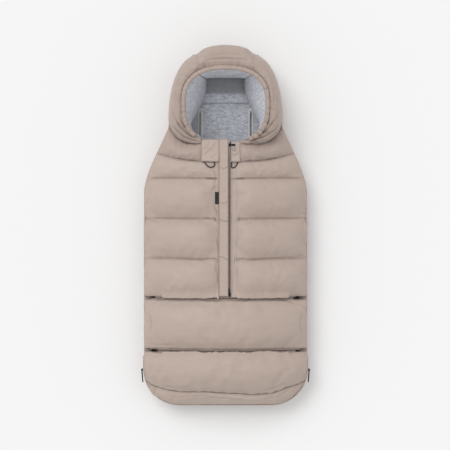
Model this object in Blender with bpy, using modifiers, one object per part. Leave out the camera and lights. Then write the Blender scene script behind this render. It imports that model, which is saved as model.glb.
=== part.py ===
# Hooded stroller footmuff, lying on its back with the front side up.
# Metres, +Z up, +Y towards the hood, origin under the middle of the bounding box.
import math
from collections import namedtuple

import bmesh
import bpy
from mathutils import Matrix, Vector
from mathutils.bvhtree import BVHTree

# Outline of the body, seen from above
body_half_width = 0.236
foot_end_y = -0.518
foot_corner_radius = 0.102
shoulder_y = 0.100
neck_y = 0.270
neck_half_width = 0.165
head_curve_y = 0.300
head_end_y = 0.497
head_flat_half_width = 0.075
shoulder_power_share = 1.5
head_power_share = 2.1
yoke_power_share = 3
neck_power_share = 3.4
foot_power_share = 6

# Heights and layers
seam_height = 0.060
dome_rise = 0.072
toe_round_length = 0.142
touch_gap = 0.0003
layer_gap = 0.0006
yoke_gap = 0.0007
wall_round = 0.055
shell_thickness = 0.004
wadding_thickness = 0.0125
lining_thickness = 0.0022
edge_thickness = 0.0045

# Seams across the front, in Y at the middle of the body
waist_y = -0.2088
shin_y = -0.3596
channel_seam_ys = (-0.0957, 0.0203, 0.1363)
yoke_seam_y = 0.1825
yoke_seam_lift = 0.028
neck_seam_y = 0.2332
neck_seam_lift = 0.0505
foot_seam_y = -0.4785
foot_seam_lift = 0.028
channel_puff = 0.022
yoke_puff = 0.016
thigh_puff = 0.026
foot_puff = 0.020
band_puff = 0.008

# Zips
chain_gap = 0.0016
coil_width = 0.0026
coil_depth = 0.0022
tape_thickness = 0.0008
tape_height = 0.0024
zip_half_width = 0.0065
slider_width = 0.0070
slider_length = 0.0100
plate_thickness = 0.0012
slider_clearance = 0.0006
pull_width = 0.0050
pull_thickness = 0.0016
pin_radius = 0.0006
pin_clearance = 0.0003

# Main zip and placket
main_zip_x = 0.0118
main_slider_rest_y = 0.2303
main_slider_low_y = -0.1855
placket_left_x = -0.0189
placket_top_y = 0.2465
left_tab_x = -0.0695
right_tab_x = 0.0420

# Hood
opening_centre_y = 0.352
opening_half_width = 0.119
opening_top_height = 0.096
opening_low_height = 0.111
opening_top_power_share = 2.4
opening_low_power_share = 3
hood_centre_y = 0.345
hood_height = 0.112
hood_end_height = 0.0075
hood_panel_angle = math.radians(37)
hood_panel_edge_angle = math.radians(28)
hood_crest_angle = math.radians(115)
hood_fall_start_angle = math.radians(70)
left_hood_end_x = 0.0708
right_hood_end_x = 0.0434
tunnel_radius = 0.0062
tunnel_wall = 0.0012
cord_radius = 0.0015

# Modelling aids
sharp_angle = math.radians(40)
grid_half_share = 0.5
cube_share = 1
row_tolerance_share = 0.000001
settle_turns = 6
search_turns = 40
route_parts = 12
look_down_height = 0.5

collection = None
cutter_collection = None


def clear_scene():
    for item in list(bpy.data.objects):
        bpy.data.objects.remove(item, do_unlink=True)


def add_collections():
    global collection, cutter_collection
    collection = bpy.data.collections.new("stroller_footmuff")
    cutter_collection = bpy.data.collections.new("cutters")
    bpy.context.scene.collection.children.link(collection)
    bpy.context.scene.collection.children.link(cutter_collection)


def linear(value_share):
    if value_share <= 0.04045:
        return value_share / 12.92
    return ((value_share + 0.055) / 1.055) ** 2.4


def make_material(name, red, green, blue, roughness_share, metallic_share=0.0):
    material = bpy.data.materials.new(name)
    material.use_nodes = True
    shader = material.node_tree.nodes["Principled BSDF"]
    colour = [linear(channel / 255) for channel in (red, green, blue)]
    shader.inputs["Base Color"].default_value = (*colour, 1)
    shader.inputs["Roughness"].default_value = roughness_share
    shader.inputs["Metallic"].default_value = metallic_share
    return material


def make_materials():
    return {
        "shell": make_material("taupe_shell_fabric", 187, 170, 160, 0.85),
        "trim": make_material("taupe_trim_fabric", 178, 161, 150, 0.85),
        "lining": make_material("grey_heather_jersey", 158, 162, 171, 0.95),
        "wadding": make_material("white_wadding", 232, 230, 224, 1.0),
        "binding": make_material("white_binding", 226, 226, 224, 0.8),
        "black": make_material("black_trim", 24, 23, 23, 0.5),
        "tape": make_material("taupe_zip_tape", 168, 151, 141, 0.8),
        "tag": make_material("black_woven_tag", 30, 29, 29, 0.9),
    }


def mix(start, end, share):
    return start + (end - start) * share


# Shape of the body

def half_width(y):
    corner_y = foot_end_y + foot_corner_radius
    if y < corner_y:
        along_share = min(1, (corner_y - y) / foot_corner_radius)
        flat = body_half_width - foot_corner_radius
        return flat + foot_corner_radius * math.sqrt(1 - along_share ** 2)
    if y < shoulder_y:
        return body_half_width
    if y < neck_y:
        along_share = (y - shoulder_y) / (neck_y - shoulder_y)
        return mix(body_half_width, neck_half_width, along_share ** shoulder_power_share)
    if y < head_curve_y:
        return neck_half_width
    along_share = min(1, (y - head_curve_y) / (head_end_y - head_curve_y))
    rest_share = (1 - along_share ** head_power_share) ** (1 / head_power_share)
    return mix(head_flat_half_width, neck_half_width, rest_share)


def dome_radius():
    return (body_half_width ** 2 + dome_rise ** 2) / (2 * dome_rise)


def arc_height(x):
    radius = dome_radius()
    return math.sqrt(radius ** 2 - x ** 2)


def toe_share(y):
    start_y = foot_end_y + toe_round_length
    if y >= start_y:
        return 1
    return math.sqrt(max(0, 1 - ((start_y - y) / toe_round_length) ** 2))


def base_height(x, y):
    edge = arc_height(half_width(y))
    inner_share = max(0, (arc_height(x) - edge) / (arc_height(0) - edge))
    return seam_height + touch_gap + dome_rise * inner_share * toe_share(y)


def yoke_edge_y(x):
    across_share = abs(x) / half_width(yoke_seam_y + yoke_seam_lift)
    return yoke_seam_y + yoke_seam_lift * across_share ** yoke_power_share


def neck_edge_y(x):
    across_share = max(0, (abs(x) - abs(left_tab_x)) / (neck_half_width - abs(left_tab_x)))
    return neck_seam_y + neck_seam_lift * across_share ** neck_power_share


def foot_edge_y(across_share):
    return foot_seam_y + foot_seam_lift * abs(across_share) ** foot_power_share


# Tools

def add_object(name, mesh, material, smooth=True):
    item = bpy.data.objects.new(name, mesh)
    collection.objects.link(item)
    mesh.materials.clear()
    mesh.materials.append(material)
    if smooth:
        mesh.shade_smooth()
        mesh.set_sharp_from_angle(angle=sharp_angle)
    return item


def slab(name, columns, rows, lower, upper, material):
    # A sheet of padding: lower and upper give the place of each corner from two shares
    mesh = bpy.data.meshes.new(name)
    shape = bmesh.new()
    bmesh.ops.create_grid(shape, x_segments=columns, y_segments=rows, size=grid_half_share)
    # Both sides share one diagonal, so that stacked layers stay parallel
    bmesh.ops.triangulate(shape, faces=shape.faces[:], quad_method="FIXED")
    under = shape.verts[:]
    made = bmesh.ops.extrude_face_region(shape, geom=shape.faces[:], use_keep_orig=True)
    over = [item for item in made["geom"] if isinstance(item, bmesh.types.BMVert)]
    for place, corners in ((lower, under), (upper, over)):
        for corner in corners:
            corner.co = place(corner.co.x + grid_half_share, corner.co.y + grid_half_share)
    bmesh.ops.recalc_face_normals(shape, faces=shape.faces[:])
    if shape.calc_volume(signed=True) < 0:
        bmesh.ops.reverse_faces(shape, faces=shape.faces[:])
    shape.to_mesh(mesh)
    shape.free()
    return add_object(name, mesh, material)


def box_mesh(name, low, high):
    mesh = bpy.data.meshes.new(name)
    shape = bmesh.new()
    size = [high[axis] - low[axis] for axis in range(3)]
    middle = [(high[axis] + low[axis]) / 2 for axis in range(3)]
    spread = Matrix.Translation(middle) @ Matrix.Diagonal((*size, 1))
    bmesh.ops.create_cube(shape, size=cube_share, matrix=spread)
    shape.to_mesh(mesh)
    shape.free()
    return mesh


def rod_mesh(name, radius, length, sides, turn):
    mesh = bpy.data.meshes.new(name)
    shape = bmesh.new()
    bmesh.ops.create_cone(
        shape, cap_ends=True, segments=sides, radius1=radius, radius2=radius, depth=length, matrix=turn
    )
    shape.to_mesh(mesh)
    shape.free()
    return mesh


def add_box(name, low, high, material, bevel=0):
    item = add_object(name, box_mesh(name, low, high), material, smooth=False)
    if bevel:
        rounding = item.modifiers.new("rounding", "BEVEL")
        rounding.width = bevel
        rounding.segments = 1
    return item


def cut_with(item, mesh, operation="DIFFERENCE", frame=None):
    tool = bpy.data.objects.new(f"{item.name}_{mesh.name}_cutter", mesh)
    cutter_collection.objects.link(tool)
    tool.hide_render = True
    tool.display_type = "WIRE"
    if frame is not None:
        tool.matrix_world = frame
    step = item.modifiers.new(mesh.name, "BOOLEAN")
    step.operation = operation
    step.solver = "EXACT"
    step.object = tool


def add_tube(name, points, radius, material, resolution=2):
    curve = bpy.data.curves.new(name, "CURVE")
    curve.dimensions = "3D"
    curve.bevel_depth = radius
    curve.bevel_resolution = resolution
    curve.use_fill_caps = True
    spline = curve.splines.new("POLY")
    spline.points.add(len(points) - 1)
    for slot, point in zip(spline.points, points):
        slot.co = (*point, 1)
    item = bpy.data.objects.new(name, curve)
    collection.objects.link(item)
    curve.materials.append(material)
    return item


def top_of(name):
    # Height of the upper face of a sheet of padding, over any place
    mesh = bpy.data.objects[name].data
    corners = [corner.co for corner in mesh.vertices]
    tree = BVHTree.FromPolygons(corners, [face.vertices for face in mesh.polygons])

    def height(x, y):
        hit = tree.ray_cast(Vector((x, y, look_down_height)), Vector((0, 0, -1)))[0]
        return hit.z if hit else 0

    return height


def set_origin(names, point):
    shift = Matrix.Translation(point)
    for name in names:
        item = bpy.data.objects[name]
        item.data.transform(shift.inverted() @ item.matrix_world)
        item.matrix_world = shift


def smooth_route(points, step):
    # Catmull-Rom curve through the route's own points, read at even steps
    ends = [points[0] * 2 - points[1], *points, points[-1] * 2 - points[-2]]
    dense = []
    for index in range(1, len(ends) - 2):
        before, start, end, after = ends[index - 1:index + 3]
        for part in range(route_parts):
            share = part / route_parts
            bend = (end - before) * share
            bend += (before * 2 - start * 5 + end * 4 - after) * share ** 2
            bend += (start * 3 - before - end * 3 + after) * share ** 3
            dense.append(start + bend / 2)
    dense.append(points[-1])
    lengths = [0]
    for start, end in zip(dense, dense[1:]):
        lengths.append(lengths[-1] + (end - start).length)
    count = max(2, round(lengths[-1] / step))
    route = []
    at = 0
    for number in range(count + 1):
        target = lengths[-1] * number / count
        while at < len(lengths) - 2 and lengths[at + 1] < target:
            at += 1
        span = lengths[at + 1] - lengths[at]
        route.append(dense[at].lerp(dense[at + 1], (target - lengths[at]) / span))
    return route


# Back: shell, wadding, lining and harness slots

tub_columns = 12
tub_row_counts = (5, 5, 3, 5)
outline_counts = (12, 1, 12, 12)
slot_cut_width = 0.0120
slot_wall = 0.0017
slot_base_height = 0.0006
slot_proud_height = 0.0010
shoulder_slot_x = 0.0740
shoulder_slot_y = 0.270
shoulder_slot_length = 0.140
waist_slot_x = 0.115
waist_slot_y = -0.030
waist_slot_length = 0.070
crotch_slot_y = -0.130
crotch_slot_length = 0.060
cut_overrun = 0.010


def outline_ys(counts):
    # Counts are for the foot corner, the straight side, the shoulder and the head
    corner_count, side_count, shoulder_count, head_count = counts
    quarter = math.pi / 2
    ys = []
    for step in range(corner_count):
        ys.append(foot_end_y + foot_corner_radius * (1 - math.cos(quarter * step / corner_count)))
    for step in range(side_count):
        ys.append(mix(foot_end_y + foot_corner_radius, shoulder_y, step / side_count))
    for step in range(shoulder_count + 1):
        ys.append(mix(shoulder_y, neck_y, step / shoulder_count))
    for step in range(head_count + 1):
        along_share = math.sin(quarter * step / head_count) ** (2 / head_power_share)
        ys.append(mix(head_curve_y, head_end_y, along_share))
    return ys


def outline_sides():
    # Straight pieces of the outline, each with its start, its direction and its length
    right = [Vector((half_width(y), y)) for y in outline_ys(outline_counts)]
    left = [Vector((-point.x, point.y)) for point in reversed(right)]
    corners = right + left
    sides = []
    for start, end in zip(corners, corners[1:] + corners[:1]):
        span = end - start
        sides.append((start, span.normalized(), span.length))
    return sides


def nearest_edge(sides, point):
    # Distance to the outline, and the way in from there
    best = None
    for start, direction, length in sides:
        reach = max(0, min(length, (point - start).dot(direction)))
        foot = start + direction * reach
        distance = (point - foot).length
        if best is None or distance < best[0]:
            best = (distance, Vector((-direction.y, direction.x)))
    return best


def tub_point(sides, across_share, y, depth):
    across = math.sin((across_share * 2 - 1) * math.pi / 2)
    point = Vector((across * half_width(y), y))
    distance, inward = nearest_edge(sides, point)
    near_share = 1 - min(1, distance / wall_round)
    point += inward * depth * near_share
    distance += depth * near_share
    wall_share = max(0, min(1, 1 - (distance - depth) / (wall_round - depth)))
    rise = (seam_height - depth) * (1 - math.sqrt(1 - wall_share ** 2))
    return Vector((point.x, point.y, depth + rise))


def tub_layer(name, start_depth, thickness, material):
    sides = outline_sides()
    ys = outline_ys(tub_row_counts)
    rows = len(ys) - 1
    return slab(
        name,
        tub_columns,
        rows,
        lambda across, along: tub_point(sides, across, ys[round(along * rows)], start_depth),
        lambda across, along: tub_point(sides, across, ys[round(along * rows)], start_depth + thickness),
        material,
    )


def slot_places():
    # Name, middle x, middle y, opening in x, opening in y
    inner = slot_cut_width - 2 * (slot_wall + touch_gap)
    return (
        ("shoulder_slot_binding_left", -shoulder_slot_x, shoulder_slot_y, inner, shoulder_slot_length),
        ("shoulder_slot_binding_right", shoulder_slot_x, shoulder_slot_y, inner, shoulder_slot_length),
        ("waist_slot_binding_left", -waist_slot_x, waist_slot_y, inner, waist_slot_length),
        ("waist_slot_binding_right", waist_slot_x, waist_slot_y, inner, waist_slot_length),
        ("crotch_slot_binding", 0, crotch_slot_y, crotch_slot_length, inner),
    )


def make_back(materials):
    wadding_depth = shell_thickness + layer_gap
    lining_depth = wadding_depth + wadding_thickness + layer_gap
    layers = (
        tub_layer("back_shell", 0, shell_thickness, materials["shell"]),
        tub_layer("back_wadding", wadding_depth, wadding_thickness, materials["wadding"]),
        tub_layer("back_lining", lining_depth, lining_thickness, materials["lining"]),
    )
    top = lining_depth + lining_thickness + slot_proud_height
    for name, x, y, wide, long in slot_places():
        half_x = wide / 2 + slot_wall
        half_y = long / 2 + slot_wall
        low = (x - half_x, y - half_y, slot_base_height)
        frame = add_box(name, low, (x + half_x, y + half_y, top), materials["binding"])
        half_x = wide / 2
        half_y = long / 2
        low = (x - half_x, y - half_y, -cut_overrun)
        high = (x + half_x, y + half_y, top + cut_overrun)
        cut_with(frame, box_mesh("opening", low, high))
        half_x += slot_wall + touch_gap
        half_y += slot_wall + touch_gap
        low = (x - half_x, y - half_y, -cut_overrun)
        high = (x + half_x, y + half_y, top + cut_overrun)
        for layer in layers:
            cut_with(layer, box_mesh(name, low, high))


# Front: quilted flaps, yoke, throat tabs and placket

flap_columns = 8
flap_margin = 0.0145
yoke_columns = 7
channel_rows = 5
flap_lining_rows = 7
yoke_rows = 4
wide_columns = 14
wide_rows = 6
band_rows = 5
puff_power_share = 0.7
side_fall_share = 0.16
centre_fall_share = 0.10
centre_puff_share = 0.45
lining_inset = 0.026
front_lining_gap = 0.0009
left_tab_low_thickness = 0.0115
left_tab_high_thickness = 0.0050
right_tab_low_thickness = 0.0115
right_tab_high_thickness = 0.0030
right_tab_top_y = 0.2407
placket_thickness = 0.0042
placket_columns = 3
placket_rows = 10
tab_steps = 3
lining_rows = 3
tag_low_y = 0.0609
tag_high_y = 0.0957
tag_left_x = -0.0305
tag_columns = 2
tag_rows = 5
tag_thickness = 0.0008
tag_gap = 0.0006
snap_x = 0.0236
snap_y = 0.2185
snap_radius = 0.0058
snap_height = 0.0018
snap_sides = 20


def side_puff_share(across_share):
    # Full puff over the panel, none at the side seam
    rest_share = min(1, (1 - across_share) / side_fall_share)
    return max(0, rest_share) ** puff_power_share


def centre_edge_share(across_share):
    return mix(centre_puff_share, 1, min(1, across_share / centre_fall_share))


def flap_edge_share(across_share, inner_x):
    # Flat margin beside the zip, then the puff
    margin_share = flap_margin / (body_half_width - inner_x)
    return max(0, min(1, (across_share - margin_share) / centre_fall_share))


def flap_column_share(across_share, inner_x):
    # The first column is the margin, and the others are even
    margin_share = flap_margin / (body_half_width - inner_x)
    column = round(across_share * flap_columns)
    if column == 0:
        return 0
    return mix(margin_share, 1, (column - 1) / (flap_columns - 1))


def puff_share(along_share):
    return max(0, math.sin(math.pi * along_share)) ** puff_power_share


def edge_x(inner_x, across_share, edge_y, inset=0):
    # Distance from the middle where a seam that follows edge_y meets this share of the width
    x = mix(inner_x, body_half_width - inset, across_share)
    for turn in range(settle_turns):
        x = mix(inner_x, half_width(edge_y(x)) - inset, across_share)
    return x


def front_zip_left_x():
    return main_zip_x - slider_width / 2 - slider_clearance


def front_zip_right_x():
    return main_zip_x + slider_width / 2 + slider_clearance


def flap_point(side, inner_x, across_share, along_share, inset=0, puffed=False):
    across_share = flap_column_share(across_share, inner_x)
    channels = len(channel_seam_ys) + 1
    channel = min(channels - 1, int(along_share * channels + row_tolerance_share))
    inside_share = along_share * channels - channel
    top_x = edge_x(inner_x, across_share, yoke_edge_y, inset)
    seams = (waist_y + zip_half_width, *channel_seam_ys, yoke_edge_y(top_x) - yoke_gap)
    y = mix(seams[channel], seams[channel + 1], inside_share)
    across = mix(inner_x, half_width(y) - inset, across_share)
    z = base_height(across, y)
    if puffed:
        length_share = (seams[channel + 1] - seams[channel]) / (seams[2] - seams[1])
        swell = channel_puff * length_share * puff_share(inside_share)
        z += edge_thickness + swell * side_puff_share(across_share) * flap_edge_share(across_share, inner_x)
    return Vector((side * across, y, z))


def yoke_point(side, inner_x, across_share, along_share, puffed=False):
    low_x = edge_x(inner_x, across_share, yoke_edge_y)
    high_x = edge_x(inner_x, across_share, neck_edge_y)
    across = mix(low_x, high_x, along_share)
    y = mix(yoke_edge_y(low_x), neck_edge_y(high_x) - touch_gap, along_share)
    z = base_height(min(across, half_width(y)), y)
    if puffed:
        swell = yoke_puff * puff_share(along_share)
        z += edge_thickness + swell * side_puff_share(across_share) * centre_edge_share(across_share)
    return Vector((side * across, y, z))


def lowered(point, gap, thickness=0):
    return point - Vector((0, 0, gap + thickness))


def make_flap(side, word, inner_x, yoke_inner_x, materials):
    rows = channel_rows * (len(channel_seam_ys) + 1)
    slab(
        f"front_{word}",
        flap_columns,
        rows,
        lambda across, along: flap_point(side, inner_x, across, along),
        lambda across, along: flap_point(side, inner_x, across, along, puffed=True),
        materials["shell"],
    )
    slab(
        f"front_{word}_lining",
        flap_columns,
        flap_lining_rows,
        lambda across, along: lowered(
            flap_point(side, inner_x, across, along, lining_inset), front_lining_gap, lining_thickness
        ),
        lambda across, along: lowered(
            flap_point(side, inner_x, across, along, lining_inset), front_lining_gap
        ),
        materials["lining"],
    )
    slab(
        f"yoke_{word}",
        yoke_columns,
        yoke_rows,
        lambda across, along: yoke_point(side, yoke_inner_x, across, along),
        lambda across, along: yoke_point(side, yoke_inner_x, across, along, puffed=True),
        materials["shell"],
    )


def make_throat_tab(name, low_x, high_x, top_y, low_thickness, high_thickness, material):
    def place(across_share, along_share, thick):
        x = mix(low_x, high_x, across_share)
        y = mix(yoke_edge_y(x), top_y, along_share)
        z = base_height(x, y) + thick * mix(low_thickness, high_thickness, along_share)
        return Vector((x, y, z))

    slab(
        name,
        tab_steps,
        tab_steps,
        lambda across, along: place(across, along, 0),
        lambda across, along: place(across, along, 1),
        material,
    )


def main_chain_top():
    return base_height(main_zip_x, shoulder_y) + tape_height


def make_placket(materials):
    low_y = waist_y + zip_half_width
    high_x = front_zip_left_x()

    def place(across_share, along_share, thick):
        x = mix(placket_left_x + touch_gap, high_x, across_share)
        y = mix(low_y, placket_top_y, along_share)
        return Vector((x, y, main_chain_top() + slider_clearance + placket_thickness * thick))

    slab(
        "placket",
        placket_columns,
        placket_rows,
        lambda across, along: place(across, along, 0),
        lambda across, along: place(across, along, 1),
        materials["trim"],
    )


def make_tag(materials):
    height = top_of("front_left")

    def place(across_share, along_share, lift):
        x = mix(tag_left_x, placket_left_x - touch_gap, across_share)
        y = mix(tag_low_y, tag_high_y, along_share)
        return Vector((x, y, height(x, y) + lift))

    slab(
        "placket_tag",
        tag_columns,
        tag_rows,
        lambda across, along: place(across, along, tag_gap),
        lambda across, along: place(across, along, tag_gap + tag_thickness),
        materials["tag"],
    )


def make_snap(materials):
    # It rests on the highest ground under it, at its edge nearest the zip and the yoke seam
    near_x = snap_x - snap_radius
    near_y = snap_y - snap_radius
    seam_y = yoke_edge_y(near_x)
    along_share = (near_y - seam_y) / (right_tab_top_y - seam_y)
    thickness = mix(right_tab_low_thickness, right_tab_high_thickness, along_share)
    z = base_height(near_x, snap_y) + thickness + touch_gap + snap_height / 2
    place = Matrix.Translation((snap_x, snap_y, z))
    mesh = rod_mesh("throat_snap", snap_radius, snap_height, snap_sides, place)
    add_object("throat_snap", mesh, materials["trim"])


def make_front(materials):
    make_flap(-1, "left", -placket_left_x, -left_tab_x + touch_gap, materials)
    make_flap(1, "right", front_zip_right_x(), right_tab_x + touch_gap, materials)
    make_throat_tab(
        "throat_tab_left",
        left_tab_x,
        placket_left_x,
        placket_top_y,
        left_tab_low_thickness,
        left_tab_high_thickness,
        materials["trim"],
    )
    make_throat_tab(
        "throat_tab_right",
        front_zip_right_x(),
        right_tab_x,
        right_tab_top_y,
        right_tab_low_thickness,
        right_tab_high_thickness,
        materials["trim"],
    )
    make_placket(materials)
    make_tag(materials)
    make_snap(materials)


# Thigh and foot panels, which run right across

def wide_point(low_edge, high_edge, across_share, along_share, inset=0, puff=0):
    across = math.sin((across_share * 2 - 1) * math.pi / 2)
    y = mix(low_edge(across), high_edge(across), along_share)
    x = across * (half_width(y) - inset)
    z = base_height(x, y)
    if puff:
        z += edge_thickness + puff * puff_share(along_share) * side_puff_share(abs(across))
    return Vector((x, y, z))


def corner_share(along_share):
    # Rows crowd towards the foot end, where the corner turns
    turn = math.acos(1 - (foot_edge_y(1) - foot_end_y) / foot_corner_radius)
    return (1 - math.cos(turn * along_share)) / (1 - math.cos(turn))


def make_wide_panel(name, low_edge, high_edge, rows, puff, material, eased=False):
    def place(across_share, along_share, swell):
        along_share = corner_share(along_share) if eased else along_share
        return wide_point(low_edge, high_edge, across_share, along_share, puff=swell)

    slab(
        name,
        wide_columns,
        rows,
        lambda across, along: place(across, along, 0),
        lambda across, along: place(across, along, puff),
        material,
    )


def make_wide_lining(name, low_edge, high_edge, material):
    slab(
        name,
        wide_columns,
        lining_rows,
        lambda across, along: lowered(
            wide_point(low_edge, high_edge, across, along, lining_inset), front_lining_gap, lining_thickness
        ),
        lambda across, along: lowered(
            wide_point(low_edge, high_edge, across, along, lining_inset), front_lining_gap
        ),
        material,
    )


def make_wide_panels(materials):
    def thigh_low(across):
        return shin_y + zip_half_width

    def thigh_high(across):
        return waist_y - zip_half_width

    def foot_high(across):
        return shin_y - zip_half_width

    def band_high(across):
        return foot_edge_y(across) - touch_gap

    def band_low(across):
        return foot_end_y

    make_wide_panel("thigh_panel", thigh_low, thigh_high, wide_rows, thigh_puff, materials["shell"])
    make_wide_lining("thigh_lining", thigh_low, thigh_high, materials["lining"])
    make_wide_panel("foot_panel", foot_edge_y, foot_high, wide_rows, foot_puff, materials["shell"])
    make_wide_lining("foot_lining", foot_edge_y, foot_high, materials["lining"])
    make_wide_panel("foot_band", band_low, band_high, band_rows, band_puff, materials["shell"], eased=True)


# Zips: each half is a tape with its coil on the underside

coil_step = 0.0002
strip_columns = 3
chain_columns = 14
stop_length = 0.0030
stop_height = 0.0028
box_length = 0.0095
box_height = 0.0040
foot_chain_gap = 0.0008
foot_chain_start = 0.010
foot_corner_steps = 10
foot_toe_steps = 4


def strip_distance(index, start, width):
    return (start, start + coil_width, start + coil_width + coil_step, width)[index]


def strip_depth(index):
    return coil_depth if index < 2 else tape_thickness


def make_zip_half(name, steps, place, material):
    # place gives a corner from its column, its row and its depth under the top of the tape
    def corner(across_share, along_share, deep):
        column = round(across_share * strip_columns)
        return place(column, round(along_share * steps), strip_depth(column) * deep)

    slab(
        name,
        strip_columns,
        steps,
        lambda across, along: corner(across, along, 1),
        lambda across, along: corner(across, along, 0),
        material,
    )


def main_zip_rows():
    reach = slider_length / 2 + slider_clearance
    low = main_slider_low_y + reach
    high = main_slider_rest_y - reach
    bottom = waist_y + zip_half_width + touch_gap
    # The left coil stops short of the slider, at the top and at the bottom of its run
    left = (
        (bottom, False),
        (low, False),
        (low + coil_step, True),
        (high - coil_step, True),
        (high, False),
        (placket_top_y, False),
    )
    right = ((bottom, True), (right_tab_top_y, True))
    return left, right


def make_main_zip(materials):
    top = main_chain_top()
    free_start = slider_width / 2 + slider_clearance
    left_rows, right_rows = main_zip_rows()

    def left_place(index, row, depth):
        y, coiled = left_rows[row]
        start = chain_gap / 2 if coiled else free_start
        width = main_zip_x - placket_left_x - touch_gap
        return Vector((main_zip_x - strip_distance(index, start, width), y, top - depth))

    def right_place(index, row, depth):
        y, coiled = right_rows[row]
        width = free_start - touch_gap
        return Vector((main_zip_x + strip_distance(index, chain_gap / 2, width), y, top - depth))

    make_zip_half("main_zip_left", len(left_rows) - 1, left_place, materials["tape"])
    make_zip_half("main_zip_right", len(right_rows) - 1, right_place, materials["tape"])


def make_zip_ends(materials):
    top = main_chain_top() + touch_gap
    near = chain_gap / 2
    low_y = main_slider_rest_y + slider_length / 2 + slider_clearance
    high_y = low_y + stop_length
    add_box(
        "main_zip_top_stop",
        (main_zip_x + near, low_y, top),
        (main_zip_x + near + coil_width, high_y, top + stop_height),
        materials["black"],
    )
    low_y = waist_y + zip_half_width + touch_gap
    high_y = low_y + box_length
    add_box(
        "main_zip_retainer_box",
        (main_zip_x + near, low_y, top),
        (main_zip_x + near + coil_width, high_y, top + box_height),
        materials["black"],
    )
    add_box(
        "main_zip_insertion_pin",
        (main_zip_x - near - coil_width, low_y, top - coil_depth),
        (main_zip_x - near, high_y, top),
        materials["black"],
    )


def chain_circle_centre():
    return seam_height + touch_gap + dome_rise - dome_radius()


def cross_chain_place(middle_y, side, low_x, high_x, columns):
    def place(index, row, depth):
        x = mix(low_x, high_x, row / columns)
        radius = dome_radius() + tape_height - depth
        z = chain_circle_centre() + math.sqrt(radius ** 2 - x ** 2)
        width = zip_half_width - touch_gap
        return Vector((x, middle_y + side * strip_distance(index, chain_gap / 2, width), z))

    return place


park_x = 0.2085
root_chain_end_x = 0.2150
free_chain_end_x = 0.2022


def make_cross_zips(materials):
    near = chain_gap / 2
    half_columns = chain_columns // 2
    spans = (
        ("waist_zip_lower", waist_y, -1, -root_chain_end_x, root_chain_end_x, chain_columns),
        ("waist_zip_upper_left", waist_y, 1, -free_chain_end_x, main_zip_x - near, half_columns),
        ("waist_zip_upper_right", waist_y, 1, main_zip_x + near, free_chain_end_x, half_columns),
        ("shin_zip_upper", shin_y, 1, -root_chain_end_x, root_chain_end_x, chain_columns),
        ("shin_zip_lower", shin_y, -1, -free_chain_end_x, free_chain_end_x, chain_columns),
    )
    for name, middle_y, side, low_x, high_x, columns in spans:
        place = cross_chain_place(middle_y, side, low_x, high_x, columns)
        make_zip_half(name, columns, place, materials["tape"])


def foot_corner_y():
    return foot_end_y + foot_corner_radius


def foot_stations():
    # Corners of the path round the foot: place and outward direction, right side first
    flat = body_half_width - foot_corner_radius
    start_y = shin_y - zip_half_width - foot_chain_start
    stations = [(Vector((body_half_width, start_y, 0)), Vector((1, 0, 0)))]
    for step in range(foot_corner_steps + 1):
        angle = math.pi / 2 * step / foot_corner_steps
        outward = Vector((math.cos(angle), -math.sin(angle), 0))
        stations.append((Vector((flat, foot_corner_y(), 0)) + outward * foot_corner_radius, outward))
    for step in range(1, foot_toe_steps // 2 + 1):
        x = flat * (1 - 2 * step / foot_toe_steps)
        stations.append((Vector((x, foot_end_y, 0)), Vector((0, -1, 0))))
    mirrored = []
    for point, outward in reversed(stations[:-1]):
        mirrored.append((Vector((-point.x, point.y, 0)), Vector((-outward.x, outward.y, 0))))
    return stations + mirrored


def make_foot_zip(materials):
    stations = foot_stations()
    columns = len(stations) - 1

    def place(base_z, across_share, along_share, height):
        point, outward = stations[round(across_share * columns)]
        point = point + outward * (foot_chain_gap + coil_depth * along_share)
        return Vector((point.x, point.y, base_z + height))

    bases = (
        ("foot_zip_lower", seam_height - chain_gap / 2 - coil_width),
        ("foot_zip_upper", seam_height + chain_gap / 2),
    )
    for name, base_z in bases:
        slab(
            name,
            columns,
            1,
            lambda across, along, base_z=base_z: place(base_z, across, along, 0),
            lambda across, along, base_z=base_z: place(base_z, across, along, coil_width),
            materials["tape"],
        )


# Sliders and pulls

post_start = 0.0015
post_length = 0.0025
post_clearance = 0.0003
lug_thickness = 0.0010
lug_half_length = 0.0013
lug_head = 0.0012
eye_radius = 0.0017
eye_half_width = 0.0016
eye_sides = 14
main_pull_length = 0.0160
hidden_pull_length = 0.0160
foot_pull_length = 0.0360
foot_pull_width = 0.0060
foot_park_angle = math.radians(1)
foot_pull_lean = math.radians(4)
plate_bevel = 0.0004
neck_thickness_share = 0.8


def pin_height():
    return slider_clearance + plate_thickness + eye_radius + pin_clearance


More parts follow.
